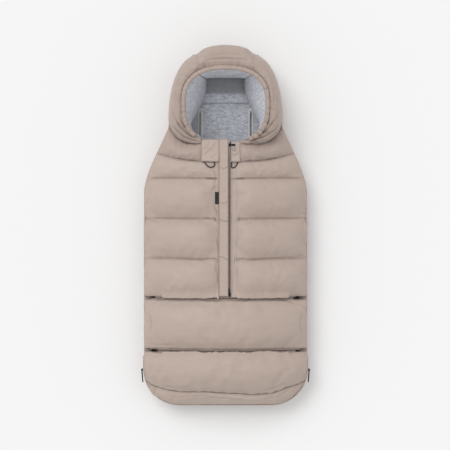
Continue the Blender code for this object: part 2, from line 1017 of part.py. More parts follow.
def make_slider(name, frame, material, turned=False, wraps=True):
    # Local x runs across the chain, y towards its closed end, z outwards from the tape
    turn = Matrix.Rotation(math.pi / 2, 4, "Z") if turned else Matrix.Identity(4)
    half_width_plate = slider_width / 2
    half_length = slider_length / 2
    plate_top = slider_clearance + plate_thickness
    item = add_box(
        name,
        (-half_width_plate, -half_length, slider_clearance),
        (half_width_plate, half_length, plate_top),
        material,
        plate_bevel,
    )
    item.matrix_world = frame
    inside = plate_thickness / 2
    if wraps:
        under = -coil_depth - slider_clearance
        post = chain_gap / 2 - post_clearance
        bottom = box_mesh(
            "under_plate",
            (-half_width_plate, -half_length, under - plate_thickness),
            (half_width_plate, half_length, under),
        )
        pillar = box_mesh(
            "post",
            (-post, post_start, under - inside),
            (post, post_start + post_length, slider_clearance + inside),
        )
        cut_with(item, pillar, "UNION", frame)
        cut_with(item, bottom, "UNION", frame)
    gap = eye_half_width + pin_clearance
    for side in (-1, 1):
        edges = sorted((side * gap, side * (gap + lug_thickness)))
        lug = box_mesh(
            "lug",
            (edges[0], -lug_half_length, slider_clearance + inside),
            (edges[1], lug_half_length, pin_height() + lug_head),
        )
        cut_with(item, lug, "UNION", frame @ turn)
    across = Matrix.Translation((0, 0, pin_height())) @ Matrix.Rotation(math.pi / 2, 4, "Y")
    pin = rod_mesh("pin", pin_radius, 2 * gap + lug_thickness, eye_sides, across)
    cut_with(item, pin, "UNION", frame @ turn)
    return item


def make_pull(name, frame, length, width, material, turned=False, lean=0):
    turn = Matrix.Rotation(math.pi / 2, 4, "Z") if turned else Matrix.Identity(4)
    tilt = Matrix.Rotation(lean, 4, "X")
    place = frame @ turn @ Matrix.Translation((0, 0, pin_height())) @ tilt
    half_thickness = pull_thickness / 2
    neck_thickness = half_thickness * neck_thickness_share
    neck_start = eye_radius / 2
    item = add_box(
        name,
        (-eye_half_width * neck_thickness_share, -slider_length / 2 - neck_start, -neck_thickness),
        (eye_half_width * neck_thickness_share, -neck_start, neck_thickness),
        material,
    )
    item.matrix_world = place
    tab = box_mesh(
        "tab", (-width / 2, -length, -half_thickness), (width / 2, -slider_length / 2, half_thickness)
    )
    across = Matrix.Rotation(math.pi / 2, 4, "Y")
    eye = rod_mesh("eye", eye_radius, 2 * eye_half_width, eye_sides, across)
    bore = rod_mesh("bore", pin_radius + pin_clearance, slider_width * 2, eye_sides, across)
    cut_with(item, tab, "UNION", place)
    cut_with(item, eye, "UNION", place)
    cut_with(item, bore, "DIFFERENCE", place)
    return item


def axes_frame(origin, x_axis, y_axis, z_axis):
    frame = Matrix.Identity(4)
    for column, axis in enumerate((x_axis, y_axis, z_axis, origin)):
        for row in range(3):
            frame[row][column] = axis[row]
    return frame


def slider_frames():
    radius = dome_radius() + tape_height
    park_angle = math.asin(park_x / radius)
    sine = math.sin(park_angle)
    cosine = math.cos(park_angle)
    park_z = chain_circle_centre() + radius * cosine
    foot_radius = foot_corner_radius + foot_chain_gap + coil_depth
    flat = body_half_width - foot_corner_radius
    lean_cosine = math.cos(foot_park_angle)
    lean_sine = math.sin(foot_park_angle)
    main_origin = (main_zip_x, main_slider_rest_y, main_chain_top())
    frames = {
        "main": axes_frame(main_origin, (1, 0, 0), (0, 1, 0), (0, 0, 1)),
        "waist": axes_frame((park_x, waist_y, park_z), (0, -1, 0), (cosine, 0, -sine), (sine, 0, cosine)),
        "shin": axes_frame((-park_x, shin_y, park_z), (0, 1, 0), (-cosine, 0, -sine), (-sine, 0, cosine)),
    }
    for word, side in (("foot_right", 1), ("foot_left", -1)):
        outward = Vector((side * lean_cosine, -lean_sine, 0))
        tangent = Vector((side * lean_sine, lean_cosine, 0))
        origin = Vector((side * flat, foot_corner_y(), seam_height)) + outward * foot_radius
        frames[word] = axes_frame(origin, (0, 0, -side), tangent, outward)
    return frames


def make_sliders(materials):
    black = materials["black"]
    frames = slider_frames()
    make_slider("main_zip_slider", frames["main"], black, turned=True)
    make_pull("main_zip_pull", frames["main"], main_pull_length, pull_width, black, turned=True)
    for word in ("waist", "shin"):
        make_slider(f"{word}_zip_slider", frames[word], black)
        make_pull(f"{word}_zip_pull", frames[word], hidden_pull_length, pull_width, black)
    for word in ("foot_right", "foot_left"):
        make_slider(f"{word}_zip_slider", frames[word], black, wraps=False)
        make_pull(
            f"{word}_zip_pull", frames[word], foot_pull_length, foot_pull_width, black, lean=foot_pull_lean
        )


# Hood: three padded panels, their linings, the gathered rim and its drawcord

hood_side_columns = 12
hood_centre_columns = 7
hood_rows = 7
rim_lip = 0.004
seat_width = 0.0300
seat_reach_share = 0.6
inner_low_height = 0.036
inner_bulge = 0.008
side_bulge = 0.001
centre_bulge = 0.0367
centre_bulge_power_share = 3
side_lining_x = 0.058
side_lining_spread = 0.054
side_lining_spread_y = 0.405
side_lining_fall = 0.125
side_lining_power_share = 1.5
centre_lining_depth = 0.015
hood_lining_gap = 0.0010
panel_joint = 0.0006
tunnel_columns = 30
tunnel_rows = 8
tunnel_seat_gap = 0.0009
cord_drop = 0.0034
tunnel_slit_angle = math.radians(24)
tunnel_end_share = 0.93
cord_end_share = 0.91
cord_points = 64

# One place along the hood: its rim, its outer edge and the free lower edge of its inside
HoodStation = namedtuple("HoodStation", "rim edge edge_z height low low_z")


def opening_point(angle):
    # The top of the opening is rounder than its bottom
    sine = math.sin(angle)
    cosine = math.cos(angle)
    half_height = opening_top_height if cosine > 0 else opening_low_height
    power_share = 2 / (opening_top_power_share if cosine > 0 else opening_low_power_share)
    x = opening_half_width * math.copysign(abs(sine) ** power_share, sine)
    y = half_height * math.copysign(abs(cosine) ** power_share, cosine)
    return Vector((x, opening_centre_y + y, 0))


def boundary_point(angle):
    # Where a ray from the middle of the hood meets its outline or its neck seam
    direction = Vector((math.sin(angle), math.cos(angle), 0))
    middle = Vector((0, hood_centre_y, 0))
    near = 0
    far = head_end_y - foot_end_y
    for turn in range(search_turns):
        reach = (near + far) / 2
        point = middle + direction * reach
        inside = point.y < head_end_y and point.y > neck_edge_y(point.x) + touch_gap
        if inside and abs(point.x) < half_width(point.y):
            near = reach
        else:
            far = reach
    return middle + direction * near


def hood_end_angles(end_x):
    rim_angle = math.pi - math.asin((end_x / opening_half_width) ** (opening_low_power_share / 2))
    drop = hood_centre_y - neck_edge_y(end_x) - touch_gap
    return rim_angle, math.pi - math.atan2(end_x, drop)


def end_x_of(side):
    return left_hood_end_x if side < 0 else right_hood_end_x


def fall_share(rim_angle, side):
    last = hood_end_angles(end_x_of(side))[0]
    share = (rim_angle - hood_fall_start_angle) / (last - hood_fall_start_angle)
    share = max(0, min(1, share))
    return share * share * (3 - 2 * share)


def hood_station(side, rim_angle, edge_angle):
    rim = opening_point(rim_angle)
    edge = boundary_point(edge_angle)
    fall = fall_share(rim_angle, side)
    seam_z = seam_height + touch_gap
    edge_z = base_height(edge.x, edge.y) if edge.y < neck_y else seam_z
    end = boundary_point(hood_end_angles(end_x_of(side))[1])
    crest_share = math.sin(hood_crest_angle)
    low_rim_z = base_height(end.x, end.y) + hood_end_height * crest_share
    rim_z = mix(seam_z + hood_height * crest_share, low_rim_z, fall)
    height = (rim_z - edge_z) / crest_share
    low_z = mix(inner_low_height, edge_z, fall)
    if rim_angle >= hood_panel_angle:
        spread_share = max(0, min(1, (side_lining_spread_y - rim.y) / side_lining_fall))
        spread = side_lining_spread * spread_share ** side_lining_power_share
        inner_x = min(rim.x, side_lining_x + spread)
        low = Vector((inner_x, rim.y, 0))
    else:
        side_share = (rim_angle / hood_panel_angle) ** 2
        lean_share = (side_lining_x - 2 * panel_joint) / opening_point(hood_panel_angle).x
        low = Vector((rim.x * lean_share, rim.y - centre_lining_depth * (1 - side_share), 0))
    return HoodStation(rim, edge, edge_z, height, low, low_z)


def hood_outer(station, share, bulge):
    outward = (station.edge - station.rim).normalized()
    lip = station.rim + outward * rim_lip
    angle = hood_crest_angle * share
    plan_share = (1 - math.cos(angle)) / (1 - math.cos(hood_crest_angle))
    point = station.edge.lerp(lip, plan_share)
    point += outward * bulge * math.sin(math.pi * share) * station.height / hood_height
    return Vector((point.x, point.y, station.edge_z + station.height * math.sin(angle)))


def rim_height(station):
    return station.edge_z + station.height * math.sin(hood_crest_angle)


def hood_inner(station, share, depth):
    middle = Vector((0, opening_centre_y, 0))
    inward = (middle - station.rim).normalized()
    bulge = inner_bulge * station.height / hood_height * math.sin(math.pi * share)
    point = station.low.lerp(station.rim, share) + inward * (depth + bulge)
    return Vector((point.x, point.y, mix(station.low_z, rim_height(station), share)))


def hood_under(station, share):
    # From the seat on the rim of the back, down to the free lower edge, then up to the opening
    row = round(share * hood_rows)
    if row == 0:
        inward = station.low - station.edge
        reach = min(seat_width, inward.length * seat_reach_share)
        seat = station.edge + inward.normalized() * reach
        return Vector((seat.x, seat.y, station.edge_z))
    return hood_inner(station, (row - 1) / (hood_rows - 1), 0)


def make_hood_panel(word, side, columns, bulge_at, angles_at, materials):
    def station_at(share):
        rim_angle, edge_angle = angles_at(share)
        return hood_station(side, rim_angle, edge_angle)

    stations = [station_at(column / columns) for column in range(columns + 1)]

    def mirrored(point):
        return Vector((side * point.x, point.y, point.z))

    def pick(share):
        return stations[round(share * columns)]

    slab(
        f"hood_{word}",
        columns,
        hood_rows,
        lambda across, along: mirrored(hood_under(pick(across), along)),
        lambda across, along: mirrored(hood_outer(pick(across), along, bulge_at(across))),
        materials["shell"],
    )
    slab(
        f"hood_lining_{word}",
        columns,
        hood_rows - 1,
        lambda across, along: mirrored(hood_inner(pick(across), along, hood_lining_gap + lining_thickness)),
        lambda across, along: mirrored(hood_inner(pick(across), along, hood_lining_gap)),
        materials["lining"],
    )


def make_hood(materials):
    joint_angle = panel_joint / neck_half_width
    for word, side in (("left", -1), ("right", 1)):
        ends = hood_end_angles(end_x_of(side))

        def angles_at(share, ends=ends):
            rim_angle = mix(hood_panel_angle + joint_angle, ends[0], share)
            return rim_angle, mix(hood_panel_edge_angle + joint_angle, ends[1], share)

        make_hood_panel(word, side, hood_side_columns, lambda share: side_bulge, angles_at, materials)

    def centre_angles(share):
        swing = mix(-1, 1, share)
        return swing * (hood_panel_angle - joint_angle), swing * (hood_panel_edge_angle - joint_angle)

    def centre_bulge_at(share):
        return centre_bulge * (1 - abs(mix(-1, 1, share)) ** centre_bulge_power_share)

    make_hood_panel("centre", 1, hood_centre_columns, centre_bulge_at, centre_angles, materials)


def rim_spot(share, end_share):
    # Round the rim from the left end over the top to the right end
    signed = mix(-1, 1, share)
    side = -1 if signed < 0 else 1
    rim_end, edge_end = hood_end_angles(end_x_of(side))
    swing = abs(signed) * end_share
    station = hood_station(side, rim_end * swing, edge_end * swing)
    return Vector((side * station.rim.x, station.rim.y, rim_height(station)))


def make_rim(materials):
    spots = [rim_spot(column / tunnel_columns, tunnel_end_share) for column in range(tunnel_columns + 1)]

    def place(across_share, along_share, radius):
        column = round(across_share * tunnel_columns)
        spot = spots[column]
        before = spots[max(0, column - 1)]
        after = spots[min(tunnel_columns, column + 1)]
        along = (after - before).normalized()
        up = Vector((0, 0, 1))
        side = along.cross(up).normalized()
        turn = mix(tunnel_slit_angle / 2, 2 * math.pi - tunnel_slit_angle / 2, along_share)
        centre = spot + up * (tunnel_radius + tunnel_seat_gap)
        return centre + (side * math.sin(turn) - up * math.cos(turn)) * radius

    slab(
        "hood_rim_tunnel",
        tunnel_columns,
        tunnel_rows,
        lambda across, along: place(across, along, tunnel_radius - tunnel_wall),
        lambda across, along: place(across, along, tunnel_radius),
        materials["shell"],
    )
    # The cord lies on the inside of the tunnel's floor
    up = Vector((0, 0, tunnel_radius + tunnel_seat_gap - cord_drop))
    route = [rim_spot(number / cord_points, cord_end_share) + up for number in range(cord_points + 1)]
    add_tube("hood_drawcord", route, cord_radius, materials["black"])


# Drawcord loops that hang out under the throat tabs

loop_point_step = 0.0042
loop_gap = 0.0005
loop_end_gap = 0.0017
left_loop_start_x = -0.0615
left_loop_end_x = -0.0335
left_loop = ((-0.0572, 0.1772), (-0.0500, 0.1690), (-0.0410, 0.1662), (-0.0325, 0.1700), (-0.0308, 0.1758))
right_loop_start_x = 0.0355
right_loop_end_x = 0.0175
right_loop = ((0.0330, 0.1760), (0.0295, 0.1695), (0.0225, 0.1650), (0.0175, 0.1660), (0.0166, 0.1725))


def make_loop(name, flap_name, start_x, middle, end_x, material):
    height = top_of(flap_name)
    points = []
    start = (start_x, yoke_edge_y(start_x) - loop_end_gap)
    end = (end_x, yoke_edge_y(end_x) - loop_end_gap)
    for x, y in (start, *middle, end):
        around = ((0, 0), (cord_radius, 0), (-cord_radius, 0), (0, cord_radius), (0, -cord_radius))
        top = max(height(x + step_x, y + step_y) for step_x, step_y in around)
        points.append(Vector((x, y, top + cord_radius + loop_gap)))
    add_tube(name, smooth_route(points, loop_point_step), cord_radius, material)


def make_loops(materials):
    black = materials["black"]
    make_loop("drawcord_loop_left", "front_left", left_loop_start_x, left_loop, left_loop_end_x, black)
    make_loop("drawcord_loop_right", "front_right", right_loop_start_x, right_loop, right_loop_end_x, black)


# Origins of the moving pieces, on the axes they turn about

left_flap_names = (
    "front_left",
    "front_left_lining",
    "yoke_left",
    "throat_tab_left",
    "placket",
    "placket_tag",
    "drawcord_loop_left",
    "main_zip_left",
    "main_zip_insertion_pin",
    "waist_zip_upper_left",
)
right_flap_names = (
    "front_right",
    "front_right_lining",
    "yoke_right",
    "throat_tab_right",
    "throat_snap",
    "drawcord_loop_right",
    "main_zip_right",
    "main_zip_top_stop",
    "main_zip_retainer_box",
    "waist_zip_upper_right",
)
foot_flap_names = ("foot_panel", "foot_lining", "foot_band", "foot_zip_upper", "shin_zip_lower")


def set_origins():
    hinge_z = seam_height + touch_gap
    flat = body_half_width - foot_corner_radius
    set_origin(left_flap_names, Vector((-body_half_width, 0, hinge_z)))
    set_origin(right_flap_names, Vector((body_half_width, 0, hinge_z)))
    set_origin(foot_flap_names, Vector((0, shin_y - chain_gap / 2, base_height(0, shin_y) + tape_height)))
    set_origin(("waist_zip_slider",), Vector((0, waist_y, chain_circle_centre())))
    set_origin(("shin_zip_slider",), Vector((0, shin_y, chain_circle_centre())))
    set_origin(("foot_right_zip_slider",), Vector((flat, foot_corner_y(), seam_height)))
    set_origin(("foot_left_zip_slider",), Vector((-flat, foot_corner_y(), seam_height)))


def main():
    clear_scene()
    add_collections()
    materials = make_materials()
    make_back(materials)
    make_front(materials)
    make_wide_panels(materials)
    make_main_zip(materials)
    make_zip_ends(materials)
    make_cross_zips(materials)
    make_foot_zip(materials)
    make_sliders(materials)
    make_hood(materials)
    make_rim(materials)
    make_loops(materials)
    set_origins()


main()
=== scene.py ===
import heapq
import math

import bmesh
import bpy
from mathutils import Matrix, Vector, kdtree, noise


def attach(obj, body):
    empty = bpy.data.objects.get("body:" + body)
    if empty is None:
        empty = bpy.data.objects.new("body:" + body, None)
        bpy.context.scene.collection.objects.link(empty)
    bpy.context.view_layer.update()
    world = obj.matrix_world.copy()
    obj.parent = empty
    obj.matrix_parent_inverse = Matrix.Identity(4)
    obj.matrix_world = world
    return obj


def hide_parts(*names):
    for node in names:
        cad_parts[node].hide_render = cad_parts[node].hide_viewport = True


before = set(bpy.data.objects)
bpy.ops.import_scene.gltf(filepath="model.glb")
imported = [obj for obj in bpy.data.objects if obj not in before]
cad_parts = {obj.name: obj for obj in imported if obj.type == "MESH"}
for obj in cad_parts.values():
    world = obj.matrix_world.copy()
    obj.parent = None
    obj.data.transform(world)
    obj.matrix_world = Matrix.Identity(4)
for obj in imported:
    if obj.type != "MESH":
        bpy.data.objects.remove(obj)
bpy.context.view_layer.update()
scene = bpy.context.scene

# Camera, straight above the footmuff
cameraValues = {"height": 5.0, "objectPlane": 0.06, "frameWidth": 1.305, "lookX": -0.0015, "lookY": 0.0015}


def makeCamera():
    values = cameraValues
    camera = bpy.data.objects.new("studioCamera", bpy.data.cameras.new("studioCamera"))
    scene.collection.objects.link(camera)
    camera.location = (values["lookX"], values["lookY"], values["height"] + values["objectPlane"])
    camera.data.sensor_width = 36
    camera.data.lens = 36 * values["height"] / values["frameWidth"]
    scene.camera = camera


makeCamera()
print("camera placed")

# Helpers for numbers, meshes and handing pieces over

def clamp(value):
    return max(0, min(1, value))


def smoothShare(share):
    return share * share * (3 - 2 * share)


def bell(distance, width):
    return math.exp(-(distance / width) ** 2)


def camelName(node):
    first, *rest = node.split("_")
    return first + "".join(word.capitalize() for word in rest)


def pointTree(points):
    tree = kdtree.KDTree(len(points))
    for number, point in enumerate(points):
        tree.insert(point, number)
    tree.balance()
    return tree


def deselectAll():
    if bpy.context.object and bpy.context.object.mode != "OBJECT":
        bpy.ops.object.mode_set(mode="OBJECT")
    for item in list(bpy.context.selected_objects):
        item.select_set(False)


def pickOne(piece):
    deselectAll()
    piece.select_set(True)
    bpy.context.view_layer.objects.active = piece


def openMesh():
    bpy.ops.object.mode_set(mode="EDIT")
    bpy.ops.mesh.select_all(action="SELECT")


def closeMesh():
    bpy.ops.object.mode_set(mode="OBJECT")


def applyAll(piece):
    pickOne(piece)
    for step in list(piece.modifiers):
        bpy.ops.object.modifier_apply(modifier=step.name)


def subdivide(piece, levels):
    step = piece.modifiers.new("smoothing", "SUBSURF")
    step.levels = levels
    step.render_levels = levels
    applyAll(piece)


def smoothShade(piece, degrees=50):
    pickOne(piece)
    bpy.ops.object.shade_smooth_by_angle(angle=math.radians(degrees))


def handOver(piece, nodes, body):
    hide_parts(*nodes)
    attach(piece, body)


# Drawcord loops that hang out under the throat tabs
loopValues = {"diameter": 0.003, "bevelRings": 4, "weld": 0.00001}
loopRoutes = {
    "Left": (
        (-0.0615, 0.1816, 0.1347), (-0.0591, 0.1792, 0.1370), (-0.0565, 0.1764, 0.1385), (-0.0540, 0.1732, 0.1392),
        (-0.0513, 0.1701, 0.1397), (-0.0479, 0.1678, 0.1397), (-0.0441, 0.1664, 0.1392), (-0.0400, 0.1663, 0.1386),
        (-0.0361, 0.1676, 0.1381), (-0.0327, 0.1698, 0.1375), (-0.0308, 0.1734, 0.1375), (-0.0313, 0.1774, 0.1375),
        (-0.0335, 0.1809, 0.1373),
    ),
    "Right": (
        (0.0355, 0.1810, 0.1369), (0.0336, 0.1772, 0.1372), (0.0319, 0.1735, 0.1375), (0.0298, 0.1698, 0.1378),
        (0.0266, 0.1671, 0.1379), (0.0230, 0.1652, 0.1381), (0.0189, 0.1650, 0.1384), (0.0167, 0.1683, 0.1384),
        (0.0166, 0.1725, 0.1384), (0.0170, 0.1767, 0.1384), (0.0175, 0.1808, 0.1384),
    ),
}


def makeLoop(side):
    name = "drawcordLoop" + side
    curve = bpy.data.curves.new(name, "CURVE")
    curve.dimensions = "3D"
    curve.bevel_resolution = loopValues["bevelRings"]
    curve.use_fill_caps = True
    spline = curve.splines.new("BEZIER")
    spline.bezier_points.add(len(loopRoutes[side]) - 1)
    for knot, place in zip(spline.bezier_points, loopRoutes[side]):
        knot.co = place
        knot.handle_left_type = "AUTO"
        knot.handle_right_type = "AUTO"
    piece = bpy.data.objects.new(name, curve)
    scene.collection.objects.link(piece)
    # The middle line is read while the curve has no thickness yet
    line = piece.evaluated_get(bpy.context.evaluated_depsgraph_get()).to_mesh()
    curve.bevel_depth = loopValues["diameter"] / 2
    pickOne(piece)
    bpy.ops.object.convert(target="MESH")
    piece = bpy.context.object
    openMesh()
    bpy.ops.mesh.remove_doubles(threshold=loopValues["weld"])
    closeMesh()
    smoothShade(piece)
    handOver(piece, ["drawcord_loop_" + side.lower()], side.lower() + "_flap")
    return piece


loops = [makeLoop(side) for side in ("Left", "Right")]
print("cord loops laid")


# Shader helpers

def feed(tree, node, inputs):
    # Each input takes a plain value, or the socket that drives it
    for key, value in inputs.items():
        if isinstance(value, bpy.types.NodeSocket):
            tree.links.new(value, node.inputs[key])
        else:
            node.inputs[key].default_value = value


def addNode(tree, kind, inputs=None, **settings):
    node = tree.nodes.new("ShaderNode" + kind)
    for key, value in settings.items():
        setattr(node, key, value)
    feed(tree, node, inputs or {})
    return node.outputs


def mathNode(tree, operation, *values):
    return addNode(tree, "Math", dict(enumerate(values)), operation=operation)[0]


def mapRange(tree, value, low, high):
    # 0 at low and 1 at high
    return addNode(tree, "MapRange", {"Value": value, "From Min": low, "From Max": high})[0]


def noiseNode(tree, place, scale, detail, roughness, distortion=0.0):
    inputs = {"Vector": place, "Scale": scale, "Detail": detail, "Roughness": roughness, "Distortion": distortion}
    return addNode(tree, "TexNoise", inputs)["Fac"]


def objectPlace(tree):
    return addNode(tree, "TexCoord")["Object"]


def readValue(tree, label):
    return addNode(tree, "Attribute", attribute_name=label)["Fac"]


def newGroup(name, inputs, outputs):
    # An input without a value is a vector
    tree = bpy.data.node_groups.new(name, "ShaderNodeTree")
    for label, value in inputs.items():
        kind = "NodeSocketVector" if value is None else "NodeSocketFloat"
        socket = tree.interface.new_socket(name=label, in_out="INPUT", socket_type=kind)
        if value is not None:
            socket.default_value = value
    for label in outputs:
        tree.interface.new_socket(name=label, in_out="OUTPUT", socket_type="NodeSocketFloat")
    return tree, tree.nodes.new("NodeGroupInput").outputs, tree.nodes.new("NodeGroupOutput")


def makeWeaveGroup():
    # Over and under threads of a plain weave
    tree, start, end = newGroup("threadWeave", {"Vector": None, "Thread Size": 0.0006}, ["Height"])
    place = addNode(tree, "SeparateXYZ", {0: start["Vector"]})
    turns = mathNode(tree, "DIVIDE", math.pi, start["Thread Size"])
    waves = []
    for axis in ("X", "Y"):
        run = mathNode(tree, "ADD", place[axis], place["Z"])
        waves.append(mathNode(tree, "SINE", mathNode(tree, "MULTIPLY", run, turns)))
    feed(tree, end, {"Height": mathNode(tree, "MULTIPLY", *waves)})
    return tree


def makeCreaseGroup():
    # Soft creases of worn cloth, long and short
    tree, start, end = newGroup("softCreases", {"Vector": None, "Crease Scale": 30.0}, ["Height", "Tone"])
    scale = start["Crease Scale"]
    place = addNode(tree, "Mapping", {"Vector": start["Vector"], "Scale": (0.5, 1.6, 1.0)})[0]
    long = noiseNode(tree, place, scale, 3.0, 0.45, 0.6)
    short = noiseNode(tree, place, mathNode(tree, "MULTIPLY", scale, 3.1), 2.0, 0.5, 1.4)
    height = mathNode(tree, "ADD", long, mathNode(tree, "MULTIPLY", short, 0.35))
    feed(tree, end, {"Height": height, "Tone": long})
    return tree


def makeHeatherGroup():
    # Light and dark fibres of a heather jersey
    tree, start, end = newGroup("heatherFleck", {"Vector": None, "Fleck Scale": 500.0}, ["Tone", "Height"])
    scale = start["Fleck Scale"]
    place = addNode(tree, "Mapping", {"Vector": start["Vector"], "Scale": (0.45, 1.0, 1.0)})[0]
    fine = noiseNode(tree, place, scale, 2.0, 0.7)
    broad = noiseNode(tree, place, mathNode(tree, "MULTIPLY", scale, 0.28), 2.0, 0.6)
    shares = [mathNode(tree, "MULTIPLY", fibre, share) for fibre, share in ((fine, 0.55), (broad, 0.45))]
    feed(tree, end, {"Tone": mapRange(tree, mathNode(tree, "ADD", *shares), 0.38, 0.62), "Height": fine})
    return tree


def makeThreadGroup():
    # A row of stitches at one distance from a seam
    inputs = {"Seam Gap": 1.0, "Seam Run": 0.0, "Row Distance": 0.003, "Stitch Length": 0.0035}
    tree, start, end = newGroup("stitchRow", inputs, ["Mask"])
    away = mathNode(tree, "ABSOLUTE", mathNode(tree, "SUBTRACT", start["Seam Gap"], start["Row Distance"]))
    share = mathNode(tree, "FRACT", mathNode(tree, "DIVIDE", start["Seam Run"], start["Stitch Length"]))
    dash = mathNode(tree, "LESS_THAN", share, 0.72)
    feed(tree, end, {"Mask": mathNode(tree, "MULTIPLY", mapRange(tree, away, 0.0007, 0.0002), dash)})
    return tree


groups = {
    "weave": makeWeaveGroup(),
    "creases": makeCreaseGroup(),
    "heather": makeHeatherGroup(),
    "stitches": makeThreadGroup(),
}


def placeGroup(tree, key, inputs):
    node = tree.nodes.new("ShaderNodeGroup")
    node.node_tree = groups[key]
    feed(tree, node, inputs)
    return node.outputs


def toLinear(colour):
    shares = [channel / 255 for channel in colour]
    return (*[share / 12.92 if share <= 0.04045 else ((share + 0.055) / 1.055) ** 2.4 for share in shares], 1)


def newMaterial(name):
    material = bpy.data.materials.new(name)
    material.use_nodes = True
    tree = material.node_tree
    return material, tree, tree.nodes["Principled BSDF"]


def addBumps(tree, shader, steps):
    # Each step is a height socket, strength and depth in metres, coarse first
    last = {}
    for height, strength, distance in steps:
        inputs = {"Height": height, "Strength": strength, "Distance": distance, **last}
        last = {"Normal": addNode(tree, "Bump", inputs)["Normal"]}
    feed(tree, shader, last)


def mixColours(tree, factor, *ends):
    # Each end is a socket, or a screen colour of 0 to 255
    first, second = [toLinear(end) if isinstance(end, tuple) else end for end in ends]
    return addNode(tree, "Mix", {0: factor, 6: first, 7: second}, data_type="RGBA")[2]


shellCloth = {
    "light": (183, 166, 155),
    "dark": (172, 155, 145),
    "thread": (150, 134, 125),
    # Painted shade colour, mixed in along seams and in pressed folds
    "shadow": (96, 82, 75),
    "roughness": 0.62,
    "sheen": 0.1,
    "seamShade": 0.42,
    "threadSize": 0.0007,
}
trimCloth = {
    **shellCloth,
    "light": (184, 167, 156),
    "dark": (174, 157, 147),
    "roughness": 0.66,
    "seamShade": 0.6,
}
hoodCloth = {**shellCloth, "light": (176, 159, 149), "dark": (164, 147, 137), "seamShade": 0.1}


def makeCloth(name, values, creaseScale, stitchDistance=0.0035):
    material, tree, shader = newMaterial(name)
    place = objectPlace(tree)
    gap, run, fold = [readValue(tree, label) for label in ("seamGap", "seamRun", "foldShade")]
    creases = placeGroup(tree, "creases", {"Vector": place, "Crease Scale": creaseScale})
    weave = placeGroup(tree, "weave", {"Vector": place, "Thread Size": values["threadSize"]})["Height"]
    row = {"Seam Gap": gap, "Seam Run": run, "Row Distance": stitchDistance}
    stitches = placeGroup(tree, "stitches", row)["Mask"]
    tone = mixColours(tree, creases["Tone"], values["dark"], values["light"])
    sewn = mixColours(tree, stitches, tone, values["thread"])
    # Painted shade: seams and pressed folds are darkened towards the shadow colour
    seamShadeMask = mathNode(tree, "MULTIPLY", mapRange(tree, gap, 0.0016, 0.0003), values["seamShade"])
    colour = mixColours(tree, mathNode(tree, "MAXIMUM", seamShadeMask, fold), sewn, values["shadow"])
    feed(tree, shader, {
        "Base Color": colour,
        "Roughness": values["roughness"],
        "Sheen Weight": values["sheen"],
        "Sheen Roughness": 0.5,
    })
    addBumps(tree, shader, ((creases["Height"], 0.3, 0.0009), (stitches, 0.5, 0.0004), (weave, 0.25, 0.00012)))
    return material


jerseyCloth = {
    "light": (226, 228, 235),
    "dark": (164, 167, 176),
    # Painted shade colour for the jersey near its seams and edges
    "shadow": (96, 96, 100),
    # The rib band's colour: the rib knit's own grey, darkened further as painted shade under the hood
    "ribAndShadeColour": (150, 150, 153),
    "ribTurns": 1570.0,
    "roughness": 0.95,
    "sheen": 0.25,
    "fleckScale": 560.0,
    "edgeShade": 0.45,
}


def makeJersey(name, values, ribFrom=None):
    # ribFrom gives the Y span over which the plain jersey turns into the dark rib band, which is darker for its own
    # knit and also for painted shade under the hood
    material, tree, shader = newMaterial(name)
    place = objectPlace(tree)
    heather = placeGroup(tree, "heather", {"Vector": place, "Fleck Scale": values["fleckScale"]})
    creases = placeGroup(tree, "creases", {"Vector": place, "Crease Scale": 22.0})
    colour = mixColours(tree, heather["Tone"], values["dark"], values["light"])
    heights = [(creases["Height"], 0.3, 0.0015), (heather["Height"], 0.5, 0.0006)]
    # Painted shade: the jersey darkens towards the shadow colour near its seams and edges
    edge = mapRange(tree, readValue(tree, "seamGap"), 0.0045, 0.0005)
    colour = mixColours(tree, mathNode(tree, "MULTIPLY", edge, values["edgeShade"]), colour, values["shadow"])
    if ribFrom:
        height = addNode(tree, "SeparateXYZ", {0: place})["Y"]
        start = mapRange(tree, height, *ribFrom)
        wave = mathNode(tree, "SINE", mathNode(tree, "MULTIPLY", height, values["ribTurns"]))
        ribAndShade = mathNode(tree, "MULTIPLY", start, mathNode(tree, "MULTIPLY_ADD", wave, 0.12, 0.8))
        colour = mixColours(tree, ribAndShade, colour, values["ribAndShadeColour"])
        heights.append((mathNode(tree, "MULTIPLY", wave, start), 0.6, 0.0008))
    feed(tree, shader, {"Base Color": colour, "Roughness": values["roughness"], "Sheen Weight": values["sheen"]})
    addBumps(tree, shader, heights)
    return material


def makeTape(name, light, dark, ribSize, roughness=0.75):
    # Ribbed woven tape
    material, tree, shader = newMaterial(name)
    place = objectPlace(tree)
    weave = placeGroup(tree, "weave", {"Vector": place, "Thread Size": ribSize})["Height"]
    creases = placeGroup(tree, "creases", {"Vector": place, "Crease Scale": 90.0})
    mask = mathNode(tree, "MULTIPLY_ADD", weave, 0.35, mathNode(tree, "MULTIPLY", creases["Tone"], 0.9))
    feed(tree, shader, {"Base Color": mixColours(tree, mask, dark, light), "Roughness": roughness})
    addBumps(tree, shader, ((creases["Height"], 0.2, 0.0004), (weave, 0.6, 0.0002)))
    return material


def makeHard(name, light, dark, roughness, wearScale, metallic=0.0, specular=0.5):
    # Painted metal or moulded plastic with fine scuffs
    material, tree, shader = newMaterial(name)
    scuffs = placeGroup(tree, "creases", {"Vector": objectPlace(tree), "Crease Scale": wearScale})
    spread = {"Value": scuffs["Tone"], "To Min": roughness - 0.1, "To Max": roughness + 0.15}
    feed(tree, shader, {
        "Base Color": mixColours(tree, scuffs["Tone"], dark, light),
        "Roughness": addNode(tree, "MapRange", spread)[0],
        "Metallic": metallic,
        "Specular IOR Level": specular,
    })
    addBumps(tree, shader, ((scuffs["Height"], 0.15, 0.0002),))
    return material


